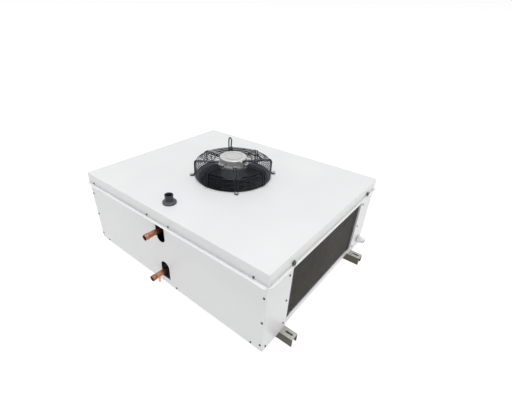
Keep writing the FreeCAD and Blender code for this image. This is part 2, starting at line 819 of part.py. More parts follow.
def guard_rings():
    """Hoops on the inside of the ribs: a flat top and a straight side wall."""
    inset = (rib_wire + ring_wire) / 2 - wire_bite
    slope = guard_top_slope / (rib_radius - rib_end_radius)
    rings = []
    radius = wire_radius - 5.0
    while radius > lug_radius + ring_pitch * 0.7:
        height = guard_top - slope * (rib_radius - radius) - inset
        rings.append(guard_ring(radius, height))
        radius -= ring_pitch
    height = ring_top + ring_wire / 2 + 0.2
    while height < guard_top - rib_bend:
        rings.append(guard_ring(wire_radius, height))
        height += ring_pitch
    return rings


def fan_guard():
    return joined([guard_rib(number) for number in range(rib_count)] + guard_rings())


def guard_clamps():
    """Small plates, narrower at the motor, that hold the ribs' ends on the motor flange."""
    inner, outer = clamp_radius - clamp_length / 2, clamp_radius + clamp_length / 2
    wide = rib_spacing / 2 + rib_wire / 2
    narrow = screw_size
    corners = [V(inner, -narrow, clamp_bottom), V(outer, -wide, clamp_bottom)]
    corners += [V(outer, wide, clamp_bottom), V(inner, narrow, clamp_bottom)]
    outline = Part.Face(Part.makePolygon(corners + corners[:1]))
    plates = []
    for number in range(rib_count):
        plate = outline.extrude(Z * clamp_thickness)
        hole = V(clamp_radius, 0, clamp_bottom)
        plate = plate.cut(rod(screw_size / 2 + hole_gap, hole - Z, hole + Z * (clamp_thickness + 1)))
        plate.rotate(V(0, 0, 0), Z, 360.0 / rib_count * number)
        plates.append(plate)
    return plates


def clamp_screw_places():
    return [polar(clamp_radius, 360.0 / rib_count * number, clamp_bottom + clamp_thickness)
            for number in range(rib_count)]


def foot_washer_places():
    return [place + Z * (rib_wire / 2) for place in guard_foot_places()]


def guard_foot_screws():
    return [pan_screw(place + Z * washer_thickness, Z, 16.0) for place in foot_washer_places()]


def guard_foot_washers():
    return [pipe(washer_diameter / 2, screw_size / 2 + hole_gap, place, place + Z * washer_thickness)
            for place in foot_washer_places()]


# Motor
def motor_flange():
    """The flange with eight lugs under the guard's ribs, and the tube that holds the bearings."""
    disc = rod(motor_flange_diameter / 2, Z * flange_bottom, Z * flange_top)
    pieces = [disc]
    for number in range(rib_count):
        lug = block(0, lug_radius, -motor_lug_width / 2, motor_lug_width / 2, flange_bottom, flange_top)
        lug.rotate(V(0, 0, 0), Z, 360.0 / rib_count * number)
        pieces.append(lug)
    tube_radius = bearing_diameter / 2 + bearing_tube_wall
    foot = rotor_bottom + rotor_floor + 6.0
    pieces.append(rod(tube_radius, Z * foot, Z * flange_bottom))
    body = joined(pieces)
    bore = rod(bearing_diameter / 2, Z * foot, Z * (flange_top - 2.0))
    holes = [screw_hole(place, Z, screw_size, 13.0) for place in clamp_screw_places()]
    return without(body.cut(bore), holes)


def motor_end_cap():
    """The round cap over the windings, with a shallow ring on top and a cable boss."""
    cap = rod(motor_radius, Z * flange_top, Z * motor_top)
    rim = [edge for edge in cap.Edges if edge.CenterOfMass.z > motor_top - 1.0]
    cap = cap.makeFillet(3.5, rim)
    cap = cap.fuse(rod(motor_radius + motor_lip_reach, Z * flange_top, Z * (flange_top + motor_lip_height)))
    cap = cap.cut(rod(motor_radius - motor_wall - 1.0, Z * (flange_top - 1), Z * (motor_top - motor_wall - 1.0)))
    groove = motor_radius * 0.68
    cap = cap.cut(pipe(groove, groove - 4.0, Z * (motor_top - 2.0), Z * (motor_top + 1.0)))
    cap = cap.cut(pipe(motor_radius + 1.0, motor_radius - 1.2, Z * (motor_top - 9.5), Z * (motor_top - 8.0)))
    for number in range(rib_count):
        notch = block(motor_radius - 2.0, motor_radius + 2.0, -3.0, 3.0, flange_top + 6.0, flange_top + 14.0)
        notch.rotate(V(0, 0, 0), Z, 360.0 / rib_count * number + 11.25)
        cap = cap.cut(notch)
    face, out = cable_outlet()
    boss = block(motor_radius - motor_wall, math.hypot(face.x, face.y), -cable_boss_length, 0,
                 face.z - cable_boss_size / 2, face.z + cable_boss_size / 2)
    boss.rotate(V(0, 0, 0), Z, cable_exit_angle)
    boss = boss.fuse(rod(cable_boss_size / 2, face - out * cable_boss_length, face))
    bore = rod(cable_size / 2 + hole_gap, face - out * (cable_boss_length - 2.0), face)
    return cap.fuse(boss).cut(bore)


def cable_outlet():
    """The face of the boss beside the motor's wall, and the direction in which the cable leaves it."""
    angle = math.radians(cable_exit_angle)
    reach = motor_radius + cable_bush_size / 2 + fit_gap
    return polar(reach, cable_exit_angle, motor_top - cable_boss_size / 2 - 1.0), V(-math.sin(angle), math.cos(angle), 0)


def cable_bush():
    face, out = cable_outlet()
    return pipe(cable_bush_size / 2, cable_size / 2 + hole_gap, face, face + out * cable_bush_length)


def stator_core():
    outer = rotor_radius - rotor_wall - air_gap
    inner = bearing_diameter / 2 + bearing_tube_wall
    bottom = rotor_bottom + rotor_floor + 10.0
    return pipe(outer, inner, Z * bottom, Z * (rotor_top - 4.0))


def motor_rotor():
    cup = rod(rotor_radius, Z * rotor_bottom, Z * rotor_top)
    rim = [edge for edge in cup.Edges if edge.CenterOfMass.z < rotor_bottom + 1.0]
    cup = cup.makeFillet(4.0, rim)
    cup = cup.cut(rod(rotor_radius - rotor_wall, Z * (rotor_bottom + rotor_floor), Z * (rotor_top + 1)))
    return cup.cut(rod(shaft_diameter / 2, Z * (rotor_bottom - 1), Z * (rotor_bottom + rotor_floor + 1)))


def motor_shaft():
    return rod(shaft_diameter / 2, Z * rotor_bottom, Z * (flange_bottom - 1.0))


def motor_bearings():
    inner = shaft_diameter / 2 + running_gap
    low = rotor_bottom + rotor_floor + 7.0
    high = flange_bottom - bearing_width - 2.0
    return [pipe(bearing_diameter / 2, inner, Z * z, Z * (z + bearing_width)) for z in (low, high)]


def blade_section(radius, chord, pitch, lead):
    """A thin curved section across the blade at one radius, as a closed wire."""
    camber = 0.09 * chord
    half = blade_thickness / 2
    points = []
    for side in (1, -1):
        row = []
        for step in (-1.0, 0.0, 1.0):
            along = step * chord / 2
            rise = camber * (1 - step * step) + side * half * (1.0 if step == 0 else 0.45)
            tilt = math.radians(pitch)
            across = along * math.cos(tilt) - rise * math.sin(tilt)
            height = along * math.sin(tilt) + rise * math.cos(tilt)
            angle = math.radians(lead) + across / radius
            row.append(V(radius * math.cos(angle), radius * math.sin(angle), blade_middle + height))
        points.append(row if side > 0 else row[::-1])
    top, under = points
    edges = [Part.Arc(*top).toShape(), Part.LineSegment(top[2], under[0]).toShape()]
    edges += [Part.Arc(*under).toShape(), Part.LineSegment(under[2], top[0]).toShape()]
    return Part.Wire(edges)


def fan_impeller():
    """A hub ring on the rotor with forward swept blades."""
    inner = rotor_radius
    outer = inner + hub_wall
    hub_bottom = rotor_bottom + rotor_floor + 2.0
    hub = pipe(outer, inner, Z * hub_bottom, Z * (hub_bottom + hub_height))
    root = inner + hub_wall * 0.5
    sections = [blade_section(root, 62.0, 38.0, 0.0)]
    sections.append(blade_section((root + tip_radius) / 2, 84.0, 29.0, 4.0))
    sections.append(blade_section(tip_radius, 104.0, 23.0, 14.0))
    blade = Part.makeLoft(sections, True)
    blade = blade.cut(rod(inner + hub_wall * 0.4, Z * (hub_bottom - 40), Z * (hub_bottom + hub_height + 40)))
    pieces = [hub]
    for number in range(blade_count):
        copy = blade.copy()
        copy.rotate(V(0, 0, 0), Z, 360.0 / blade_count * number)
        pieces.append(copy)
    return joined(pieces)


# Drain spigot
def spigot_centre():
    return V(spigot_x, front_y - skin_step + spigot_from_front, casing_top)


def drain_spigot():
    base = casing_top + gasket_thickness
    top = casing_top + spigot_height
    radius = spigot_tube_diameter / 2
    flange = spigot_flange_diameter / 2
    rim = base + spigot_flange_thickness
    foot = cover_under - spigot_thread_length
    outline = [(spigot_bore / 2, foot), (radius, foot), (radius, base), (flange, base), (flange, rim - 2.0)]
    outline += [(flange - 1.5, rim - 0.5), (radius + 3.0, rim + 1.0), (radius + 1.0, rim + 3.0), (radius, rim + 3.0)]
    outline += [(radius, top), (radius - spigot_mouth_wall, top), (spigot_bore / 2, top - 5.0)]
    centre = spigot_centre()
    return revolved(outline, V(centre.x, centre.y, 0))


def drain_gasket():
    centre = spigot_centre()
    return pipe(spigot_flange_diameter / 2 - 1.0, spigot_tube_diameter / 2, centre, centre + Z * gasket_thickness)


def drain_locknut():
    top = spigot_centre() - Z * sheet
    foot = top - Z * locknut_thickness
    return hexagon(spigot_tube_diameter + 13.0, foot, top).cut(rod(spigot_tube_diameter / 2, foot, top))


# Cable gland
def gland_centre():
    return V(body_x, opening_half + gland_from_jamb, plate_bottom + gland_height)


def gland_body():
    seat = gland_centre() + X * gland_washer_thickness
    collar = hexagon(gland_across_flats, seat, seat + X * 6.0)
    thread = rod(gland_thread / 2, seat - X * (gland_washer_thickness + 10.0), seat)
    spout = rod(gland_thread / 2 - 1.5, seat + X * 6.0, seat + X * 13.0)
    return joined([collar, thread, spout]).cut(rod(gland_bore / 2, seat - X * 20, seat + X * 20))


def gland_washer():
    start = gland_centre()
    return pipe(gland_across_flats / 2 + 0.5, gland_thread / 2, start, start + X * gland_washer_thickness)


def gland_seal():
    start = gland_centre() + X * (gland_washer_thickness + 13.0)
    end = gland_centre() + X * (gland_length - 1.5)
    return pipe(gland_thread / 2 - 3.0, gland_cable / 2, start, end)


def gland_dome_nut():
    start = gland_centre() + X * (gland_washer_thickness + 6.0)
    end = gland_centre() + X * gland_length
    ridge = start + X * 10.0
    skirt = hexagon(gland_across_flats - 1.0, start, ridge)
    dome = Part.makeCone(gland_across_flats / 2 - 0.5, gland_across_flats / 2 - 2.0, (end - ridge).Length, ridge, X)
    rim = [edge for edge in dome.Edges if edge.CenterOfMass.x > end.x - 0.5 and edge.Closed]
    dome = dome.makeFillet(2.5, rim)
    body = joined([skirt, dome])
    spout = rod(gland_thread / 2 - 1.5, start - X, start + X * 7.0)
    mouth = rod(gland_thread / 2 - 3.0, start, end + X)
    return body.cut(spout).cut(mouth)


def gland_locknut():
    end = gland_centre() - X * sheet
    start = end - X * 5.0
    return hexagon(gland_thread + 7.0, start, end).cut(rod(gland_thread / 2, start, end))


# Motor cable
def on_guard(x, y):
    """A point of the cable where it lies on the guard's ribs."""
    slope = guard_top_slope / (rib_radius - rib_end_radius)
    height = rib_end_height + slope * (math.hypot(x, y) - rib_end_radius)
    return V(x, y, height + (rib_wire + cable_size) / 2 + cable_lift)


def behind(radius, offset, height):
    """A point beside the rib that stands at the back left corner."""
    point = polar(radius, 135.0, height)
    return point + polar(offset, 45.0, 0.0)


def cable_drop():
    """Where the cable goes down through the cover, behind the back foot."""
    return behind(foot_radius + cable_drop_clearance + cable_size / 2, -6.0, casing_top)


def terminal_box_y():
    return fin_half + sheet + box_depth / 2


def cable_points():
    """The cable's route: off the motor, round on top of the guard, over its rear rim in a loop,
    down through the cover and on through the tube plate into the terminal box."""
    drop = cable_drop()
    loop_top = casing_top + cable_loop_height
    loop_foot = foot_radius + cable_drop_clearance + cable_size / 2 - cable_loop_width
    face, out = cable_outlet()
    start = face + out * cable_bush_length
    along = behind(tie_radius() + 13.0, 0.0, 0.0)
    return [
        start,
        start + out * 24.0,
        on_guard(80.0, 33.0) + Z * 4.5,
        on_guard(92.0, 58.0),
        on_guard(92.0, 86.0),
        on_guard(62.0, 104.0),
        on_guard(20.0, 106.0),
        on_guard(-46.0, 64.0),
        on_guard(along.x, along.y),
        behind(loop_foot, 6.0, loop_top),
        V(drop.x, drop.y, loop_top),
        V(drop.x, drop.y, casing_top - cable_entry_drop),
        V(drop.x, terminal_box_y(), casing_top - cable_entry_drop),
        V(drop.x, terminal_box_y(), cover_under - box_drop - 14.0),
    ]


def tie_radius():
    """Midway between two rings, so that the tie goes round the rib there."""
    return wire_radius - 5.0 - 2.5 * ring_pitch


def motor_cable():
    tube, length, tightest = cord(cable_points(), cable_size / 2, cable_bend)
    section = math.pi * (cable_size / 2) ** 2
    print("cable length", round(length), "volume ratio", round(tube.Volume / (section * length), 4),
          "tightest bend", round(tightest, 1))
    return tube


def cable_tie():
    """A strap round the cable and the back left rib."""
    middle = tie_radius()
    rest = on_guard(0.0, middle).z
    half = rib_spacing / 2 + rib_wire / 2
    bottom = rest - cable_lift - cable_size / 2 - rib_wire - fit_gap
    top = rest + cable_size / 2 + 0.8
    outside = block(middle - tie_width / 2, middle + tie_width / 2, -half - tie_thickness, half + tie_thickness,
                    bottom - tie_thickness, top + tie_thickness)
    inside = block(middle - tie_width, middle + tie_width, -half, half, bottom, top)
    strap = outside.cut(inside)
    strap.rotate(V(0, 0, 0), Z, 135.0)
    return strap


def grommet(centre, axis, thickness):
    """A rubber grommet in a sheet, centred on the sheet's middle plane."""
    flange = 2.0
    inner = cable_size / 2 + hole_gap
    half = thickness / 2
    neck = pipe(grommet_hole / 2, inner, centre - axis * half, centre + axis * half)
    front = pipe(grommet_flange / 2, inner, centre + axis * half, centre + axis * (half + flange))
    back = pipe(grommet_flange / 2, inner, centre - axis * (half + flange), centre - axis * half)
    return joined([neck, front, back])


def cable_grommets():
    drop = cable_drop()
    wall = V(drop.x, fin_half + sheet / 2, casing_top - cable_entry_drop)
    return [grommet(drop - Z * (sheet / 2), Z, sheet), grommet(wall, Y, sheet)]


def terminal_box():
    y0 = fin_half + sheet
    top = cover_under - box_drop
    box_x = cable_drop().x
    outer = block(box_x - box_width / 2, box_x + box_width / 2, y0, y0 + box_depth, top - box_height, top)
    inner = block(box_x - box_width / 2 + box_wall, box_x + box_width / 2 - box_wall, y0 + box_wall,
                  y0 + box_depth + 1, top - box_height + box_wall, top - box_wall)
    entry = V(box_x, terminal_box_y(), top)
    return outer.cut(inner).cut(rod(cable_size / 2 + hole_gap, entry - Z * 10, entry + Z))


def terminal_box_lid():
    y0 = fin_half + sheet + box_depth
    top = cover_under - box_drop
    box_x = cable_drop().x
    lid = block(box_x - box_width / 2, box_x + box_width / 2, y0, y0 + 3.0, top - box_height, top)
    rims = [edge for edge in lid.Edges if edge.CenterOfMass.y > y0 + 2.5]
    return lid.makeFillet(1.5, rims)


# Fasteners
def cover_bolts():
    bolts = []
    for seat, out in cover_bolt_seats():
        base = seat + out * washer_thickness
        head = hexagon(cover_bolt_flats, base, base + out * cover_bolt_head)
        bolts.append(head.fuse(rod(cover_bolt_size / 2, seat - out * 14.0, base)))
    return bolts


def cover_bolt_washers():
    return [pipe(washer_diameter / 2, cover_bolt_size / 2 + hole_gap, seat, seat + out * washer_thickness)
            for seat, out in cover_bolt_seats()]


def channel_bolts():
    bolts = []
    for place in channel_bolt_places():
        web = place - Z * channel_sheet
        head = hexagon(13.0, web - Z * 5.5, web)
        bolts.append(head.fuse(rod(channel_bolt_size / 2, web, place + Z * (sheet + 9.0))))
    return bolts


def channel_nuts():
    nuts = []
    for place in channel_bolt_places():
        start = place + Z * sheet
        nuts.append(hexagon(13.0, start, start + Z * 6.5).cut(rod(channel_bolt_size / 2, start, start + Z * 7)))
    return nuts


def build():
    os.makedirs("parts", exist_ok=True)
    save("ceiling_plate", ceiling_plate())
    save("pipe_end_panel", end_panel(-1))
    save("wiring_end_panel", end_panel(1))
    for end, end_name in ((-1, "front"), (1, "rear")):
        for side, side_name in ((-1, "left"), (1, "right")):
            save("corner_post_" + end_name + "_" + side_name, corner_post(side, end))
    save("drain_pan_cover", drain_pan_cover())
    save("fan_ring", fan_ring())
    save("mounting_channel_front", mounting_channel(-1))
    save("mounting_channel_rear", mounting_channel(1))
    save("tube_plate_pipe_end", tube_plate(-1))
    save("tube_plate_wiring_end", tube_plate(1))

    for name, solids in (("fin_pack", [fin_pack()]), ("coil_tubes", coil_tubes())):
        save(name + "_right", solids)
        save(name + "_left", [mirrored_x(solid) for solid in solids])
    for name, solids in (("return_bends", return_bends()), ("coil_rails", coil_rails()), ("coil_seals", coil_seals())):
        save(name, solids + [mirrored_x(solid) for solid in solids])

    save("suction_manifold", suction_manifold())
    save("suction_pipe", suction_pipe())
    save("liquid_pipe", open_pipe(liquid_pipe_x, liquid_pipe_z, distributor_face_y() - distributor_length + 10.0))
    save("distributor", distributor())
    save("feeder_tubes_left", feeder_tubes(-1))
    save("feeder_tubes_right", feeder_tubes(1))

    save("fan_guard", fan_guard())
    save("guard_clamps", guard_clamps())
    save("guard_clamp_screws", [pan_screw(place, Z) for place in clamp_screw_places()])
    save("guard_foot_washers", guard_foot_washers())
    save("guard_foot_screws", guard_foot_screws())
    save("motor_flange", motor_flange())
    save("motor_end_cap", motor_end_cap())
    save("stator_core", stator_core())
    save("motor_rotor", motor_rotor())
    save("motor_shaft", motor_shaft())
    save("motor_bearings", motor_bearings())
    save("fan_impeller", fan_impeller())
    save("motor_cable", motor_cable())
    save("motor_cable_bush", cable_bush())
    save("cable_tie", cable_tie())
    save("cable_grommets", cable_grommets())
    save("terminal_box", terminal_box())
    save("terminal_box_lid", terminal_box_lid())

    save("drain_spigot", drain_spigot())
    save("drain_gasket", drain_gasket())
    save("drain_locknut", drain_locknut())
    save("gland_body", gland_body())
    save("gland_washer", gland_washer())
    save("gland_seal", gland_seal())
    save("gland_dome_nut", gland_dome_nut())
    save("gland_locknut", gland_locknut())

    save("cover_screws", [pan_screw(*seat) for seat in cover_screw_seats()])
    save("cover_bolts", cover_bolts())
    save("cover_bolt_washers", cover_bolt_washers())
    save("end_panel_screws", [pan_screw(*seat) for end in (-1, 1) for seat in panel_screw_seats(end)])
    seats = [seat for side in (-1, 1) for end in (-1, 1) for seat in post_screw_seats(side, end)]
    save("post_screws", [pan_screw(*seat) for seat in seats])
    save("channel_bolts", channel_bolts())
    save("channel_nuts", channel_nuts())


build()
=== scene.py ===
# Walk-in unit cooler, dressed for a studio picture. It lies on its hanging channels, fan up.
import bpy
import bmesh
import math
from mathutils import Matrix, Vector


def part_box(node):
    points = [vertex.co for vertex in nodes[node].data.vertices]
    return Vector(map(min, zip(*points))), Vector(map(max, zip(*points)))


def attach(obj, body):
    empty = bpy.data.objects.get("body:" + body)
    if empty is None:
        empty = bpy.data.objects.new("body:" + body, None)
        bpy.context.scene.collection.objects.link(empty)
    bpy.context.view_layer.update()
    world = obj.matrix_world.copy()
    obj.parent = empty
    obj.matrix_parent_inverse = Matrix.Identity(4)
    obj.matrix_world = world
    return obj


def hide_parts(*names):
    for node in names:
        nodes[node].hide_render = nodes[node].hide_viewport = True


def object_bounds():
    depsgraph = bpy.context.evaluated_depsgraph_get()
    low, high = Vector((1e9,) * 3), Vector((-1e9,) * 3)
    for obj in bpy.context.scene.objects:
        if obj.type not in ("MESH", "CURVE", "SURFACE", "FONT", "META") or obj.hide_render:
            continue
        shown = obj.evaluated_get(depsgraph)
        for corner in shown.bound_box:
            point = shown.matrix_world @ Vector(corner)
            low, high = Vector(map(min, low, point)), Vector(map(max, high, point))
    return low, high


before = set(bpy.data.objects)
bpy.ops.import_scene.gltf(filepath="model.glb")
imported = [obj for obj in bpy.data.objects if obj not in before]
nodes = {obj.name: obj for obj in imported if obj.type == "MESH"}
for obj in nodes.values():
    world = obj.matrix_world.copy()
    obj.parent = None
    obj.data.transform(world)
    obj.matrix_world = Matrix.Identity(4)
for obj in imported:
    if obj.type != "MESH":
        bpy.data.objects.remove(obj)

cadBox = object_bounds()
print("frame loaded,", len(nodes), "nodes")


# Camera, set to the photograph's angle
view = {"azimuth": 40.2, "elevation": 33.392, "roll": -0.9, "place": (0.8456, -0.9943, 0.9806),
        "focalPixels": 319.836, "centreX": 233.27, "centreY": 218.44, "width": 512, "height": 407,
        "sensor": 36.0, "clipEnd": 900.0}


def addCamera():
    azimuth, elevation, roll = (math.radians(view[key]) for key in ("azimuth", "elevation", "roll"))
    flat = math.cos(elevation)
    back = Vector((math.sin(azimuth) * flat, -math.cos(azimuth) * flat, math.sin(elevation)))
    right = Vector((math.cos(azimuth), math.sin(azimuth), 0))
    up = back.cross(right)
    rolledRight = right * math.cos(roll) - up * math.sin(roll)
    rolledUp = right * math.sin(roll) + up * math.cos(roll)
    turn = Matrix((rolledRight, rolledUp, back)).transposed().to_4x4()
    data = bpy.data.cameras.new("photoCamera")
    data.sensor_width = view["sensor"]
    data.sensor_fit = "HORIZONTAL"
    data.lens = view["focalPixels"] / view["width"] * view["sensor"]
    data.shift_x = (view["width"] / 2 - view["centreX"]) / view["width"]
    data.shift_y = (view["centreY"] - view["height"] / 2) / view["width"]
    data.clip_end = view["clipEnd"]
    camera = bpy.data.objects.new("photoCamera", data)
    camera.matrix_world = Matrix.Translation(view["place"]) @ turn
    bpy.context.collection.objects.link(camera)
    bpy.context.scene.camera = camera


# Floor and light
studio = {
    "floorHalf": 400.0, "floorDrop": 0.0002, "horizon": 1.0, "zenith": 0.5, "zenithFrom": 0.35,
    "overhead": 2.48, "spread": 24.0,
    "side": {"place": (3.4, -0.6, 1.8), "aim": (0.3, 0.0, 0.15), "size": (2.6, 1.8), "power": 5.0},
    "front": {"place": (-1.2, -3.2, 1.7), "aim": (0.0, 0.0, 0.2), "size": (2.2, 1.4), "power": 0.4}}


def addLight(name, place, aim, size, power):
    data = bpy.data.lights.new(name, "AREA")
    data.shape = "RECTANGLE"
    data.size, data.size_y = size
    data.energy = power
    light = bpy.data.objects.new(name, data)
    light.location = place
    light.rotation_euler = (Vector(aim) - Vector(place)).to_track_quat("-Z", "Y").to_euler()
    bpy.context.collection.objects.link(light)


def addStudio():
    scene = bpy.context.scene
    scene.view_settings.view_transform = "Standard"
    world = bpy.data.worlds.new("studioSky")
    world.use_nodes = True
    sky = Nodes(world.node_tree)
    rise = sky.add("SeparateXYZ", {}, {"Vector": sky.add("TexCoord", {}, {}, "Generated")}, "Z")
    stops = ((0.0, studio["horizon"]), (studio["zenithFrom"], studio["zenith"]))
    glow = sky.add("ValToRGB", {"stops": stops}, {"Fac": rise})
    plug(sky.tree, sky.tree.nodes["Background"].inputs["Color"], glow)
    scene.world = world
    lamp = bpy.data.lights.new("overheadLight", "SUN")
    lamp.energy = studio["overhead"]
    lamp.angle = math.radians(studio["spread"])
    bpy.context.collection.objects.link(bpy.data.objects.new("overheadLight", lamp))
    addLight("sideLight", **studio["side"])
    addLight("frontLight", **studio["front"])
    shape = bmesh.new()
    bmesh.ops.create_grid(shape, x_segments=1, y_segments=1, size=studio["floorHalf"])
    bmesh.ops.translate(shape, verts=shape.verts, vec=(0, 0, cadBox[0][2] - studio["floorDrop"]))
    mesh = bpy.data.meshes.new("studioFloor")
    shape.to_mesh(mesh)
    shape.free()
    floor = bpy.data.objects.new("studioFloor", mesh)
    bpy.context.collection.objects.link(floor)
    mesh.materials.append(studioPaper())


# Where a finish changes along its piece: height or distance from the fan's axis, from and to. Inside the
# bellmouth edge and below the channel web the colour is painted shade; below the motor crown it is painted
# shade and above it painted light
changes = {"bellmouthEdge": (0.166, 0.1675), "motorCrown": (0.438, 0.442), "spigotTube": (0.367, 0.371),
           "channelWeb": (-0.003, -0.0015)}


# Shader maths: a signal is one socket, and Python operators on it add Math nodes
class Signal:
    def __init__(self, tree, socket):
        self.tree = tree
        self.socket = socket

    def math(self, operation, *values):
        node = self.tree.nodes.new("ShaderNodeMath")
        node.operation = operation
        for slot, value in zip(node.inputs, values):
            plug(self.tree, slot, value)
        return Signal(self.tree, node.outputs[0])

    def __add__(self, other):
        return self.math("ADD", self, other)

    def __radd__(self, other):
        return self.math("ADD", other, self)

    def __sub__(self, other):
        return self.math("SUBTRACT", self, other)

    def __rsub__(self, other):
        return self.math("SUBTRACT", other, self)

    def __mul__(self, other):
        return self.math("MULTIPLY", self, other)

    def __rmul__(self, other):
        return self.math("MULTIPLY", other, self)


def plug(tree, slot, value):
    if isinstance(value, Signal):
        tree.links.new(value.socket, slot)
    else:
        slot.default_value = value


class Nodes:
    def __init__(self, tree):
        self.tree = tree

    # Adds any node: its settings first, then its sockets' values or links
    def add(self, kind, settings, sockets, output=0):
        node = self.tree.nodes.new("ShaderNode" + kind)
        for key, value in settings.items():
            if key == "stops":
                for stop, (place, shade) in zip(node.color_ramp.elements, value):
                    stop.position = place
                    stop.color = (shade, shade, shade, 1)
            else:
                setattr(node, key, value)
        for key, value in sockets.items():
            plug(self.tree, node.inputs[key], value)
        return Signal(self.tree, node.outputs[output])


class Finish(Nodes):
    def __init__(self, name, **fixed):
        self.material = bpy.data.materials.new(name)
        self.material.use_nodes = True
        super().__init__(self.material.node_tree)
        self.shader = self.tree.nodes["Principled BSDF"]
        for key, value in fixed.items():
            self.shader.inputs[key.replace("_", " ")].default_value = value

    def feed(self, name, signal):
        plug(self.tree, self.shader.inputs[name], signal)

    def place(self):
        return self.add("TexCoord", {}, {}, "Object")

    def height(self):
        return self.add("SeparateXYZ", {}, {"Vector": self.place()}, "Z")

    def stretched(self, scale):
        return self.add("Mapping", {}, {"Vector": self.place(), "Scale": scale})

    def noise(self, scale, detail=2.0, where=None, rough=0.5):
        sockets = {"Vector": where or self.place(), "Scale": scale, "Detail": detail, "Roughness": rough}
        return self.add("TexNoise", {}, sockets)

    def ramp(self, signal, low, high):
        return self.add("ValToRGB", {"stops": ((low, 0.0), (high, 1.0))}, {"Fac": signal})

    # 0 before the change and 1 after it; scale and lift bring both its places between 0 and 1
    def change(self, signal, name, scale, lift=0.0):
        first, last = (place * scale + lift for place in changes[name])
        return self.ramp(signal * scale + lift, first, last)

    def mixed(self, factor, first, second):
        shades = [shade if isinstance(shade, Signal) else shade + (1,) for shade in (first, second)]
        return self.add("Mix", {"data_type": "RGBA"}, {0: factor, 6: shades[0], 7: shades[1]}, 2)

    def bump(self, height, strength, distance):
        raised = self.add("Bump", {}, {"Height": height, "Strength": strength, "Distance": distance})
        self.feed("Normal", raised)


# Finishes of the studio and the unit
def studioPaper():
    finish = Finish("studioPaper", Roughness=0.9, Emission_Strength=0.85)
    finish.feed("Emission Color", (1.0, 1.0, 1.0, 1.0))
    tone = finish.noise(2.0, 3.0)
    finish.feed("Base Color", finish.mixed(tone, (0.24, 0.24, 0.24), (0.26, 0.26, 0.26)))
    return finish.material


whitePaint = {"dull": (0.662, 0.666, 0.672), "bright": (0.685, 0.689, 0.694)}


def whitePowderCoat():
    finish = Finish("whitePowderCoat", Roughness=0.36, Coat_Weight=0.25, Coat_Roughness=0.22)
    cloud = finish.noise(4.0, 3.0)
    peel = finish.noise(1400.0, 2.0)
    patches = finish.ramp(cloud, 0.35, 0.7)
    finish.feed("Base Color", finish.mixed(patches, whitePaint["dull"], whitePaint["bright"]))
    finish.feed("Roughness", 0.3 + cloud * 0.12)
    finish.bump(peel, 0.12, 0.0003)
    return finish.material


# The bellmouth is white on its flat and its edge; from under the guard inwards its throat is painted dark
# blue-grey, a painted shade standing in for the shadow inside it
def bellmouthPaintAndShade():
    finish = Finish("bellmouthPaintAndShade", Coat_Weight=0.2, Coat_Roughness=0.25)
    haze = finish.noise(24.0, 4.0)
    reach = finish.add("VectorMath", {"operation": "LENGTH"}, {0: finish.stretched((1.0, 1.0, 0.0))}, 1)
    # Inside this edge the throat gets painted shade instead of white
    white = finish.change(reach, "bellmouthEdge", 4.0)
    paintedThroatShade = finish.mixed(haze, (0.062, 0.074, 0.100), (0.135, 0.150, 0.185))
    pale = finish.mixed(haze, whitePaint["dull"], whitePaint["bright"])
    finish.feed("Base Color", finish.mixed(white, paintedThroatShade, pale))
    finish.feed("Roughness", 0.32 + haze * 0.14)
    finish.bump(finish.noise(1200.0), 0.12, 0.0002)
    return finish.material


def galvanisedSheet():
    finish = Finish("galvanisedSheet", Metallic=0.85)
    spangle = finish.add("TexVoronoi", {}, {"Vector": finish.place(), "Scale": 110.0}, "Color")
    cell = finish.add("SeparateColor", {}, {"Color": spangle})
    haze = finish.noise(9.0, 4.0)
    finish.feed("Base Color", finish.mixed(cell * 0.6 + haze * 0.4, (0.42, 0.43, 0.43), (0.62, 0.63, 0.63)))
    finish.feed("Roughness", 0.34 + cell * 0.16 + haze * 0.08)
    finish.bump(finish.noise(700.0), 0.08, 0.0003)
    return finish.material


def railZinc():
    finish = Finish("railZinc", Metallic=0.7)
    haze = finish.noise(30.0, 5.0, finish.stretched((1.0, 0.25, 1.0)))
    grain = finish.noise(500.0, 3.0)
    stain = haze * 0.7 + grain * 0.3
    finish.feed("Base Color", finish.mixed(stain, (0.26, 0.28, 0.30), (0.44, 0.46, 0.48)))
    finish.feed("Roughness", 0.36 + haze * 0.18)
    finish.bump(grain, 0.12, 0.0002)
    return finish.material


def channelSteel():
    finish = Finish("channelSteel", Metallic=0.55)
    smear = finish.noise(14.0, 5.0, finish.stretched((0.35, 1.0, 3.0)))
    speck = finish.noise(420.0, 3.0)
    # Below the web's top the flanges are painted dark olive, a painted shade and painted dark reflection; the
    # web's top keeps the light zinc
    web = finish.change(finish.height(), "channelWeb", 100.0, 1.0)
    stain = smear * 0.7 + speck * 0.3
    zinc = finish.mixed(stain, (0.34, 0.335, 0.30), (0.62, 0.61, 0.57))
    paintedFlangeShade = finish.mixed(stain, (0.055, 0.05, 0.034), (0.13, 0.12, 0.09))
    finish.feed("Base Color", finish.mixed(web, paintedFlangeShade, zinc))
    finish.feed("Roughness", 0.42 + smear * 0.2)
    finish.bump(speck, 0.15, 0.0003)
    return finish.material


def finFoil():
    finish = Finish("finFoil", Metallic=0.7)
    draw = finish.noise(60.0, 4.0, finish.stretched((1.0, 1.0, 0.06)))
    speck = finish.ramp(finish.noise(230.0, 2.0), 0.3, 0.7)
    haze = finish.noise(7.0, 3.0)
    stain = draw * 0.3 + haze * 0.3 + speck * 0.4
    finish.feed("Base Color", finish.mixed(stain, (0.15, 0.15, 0.13), (0.40, 0.375, 0.36)))
    finish.feed("Roughness", 0.4 + draw * 0.2)
    finish.bump(draw, 0.1, 0.0002)
    return finish.material


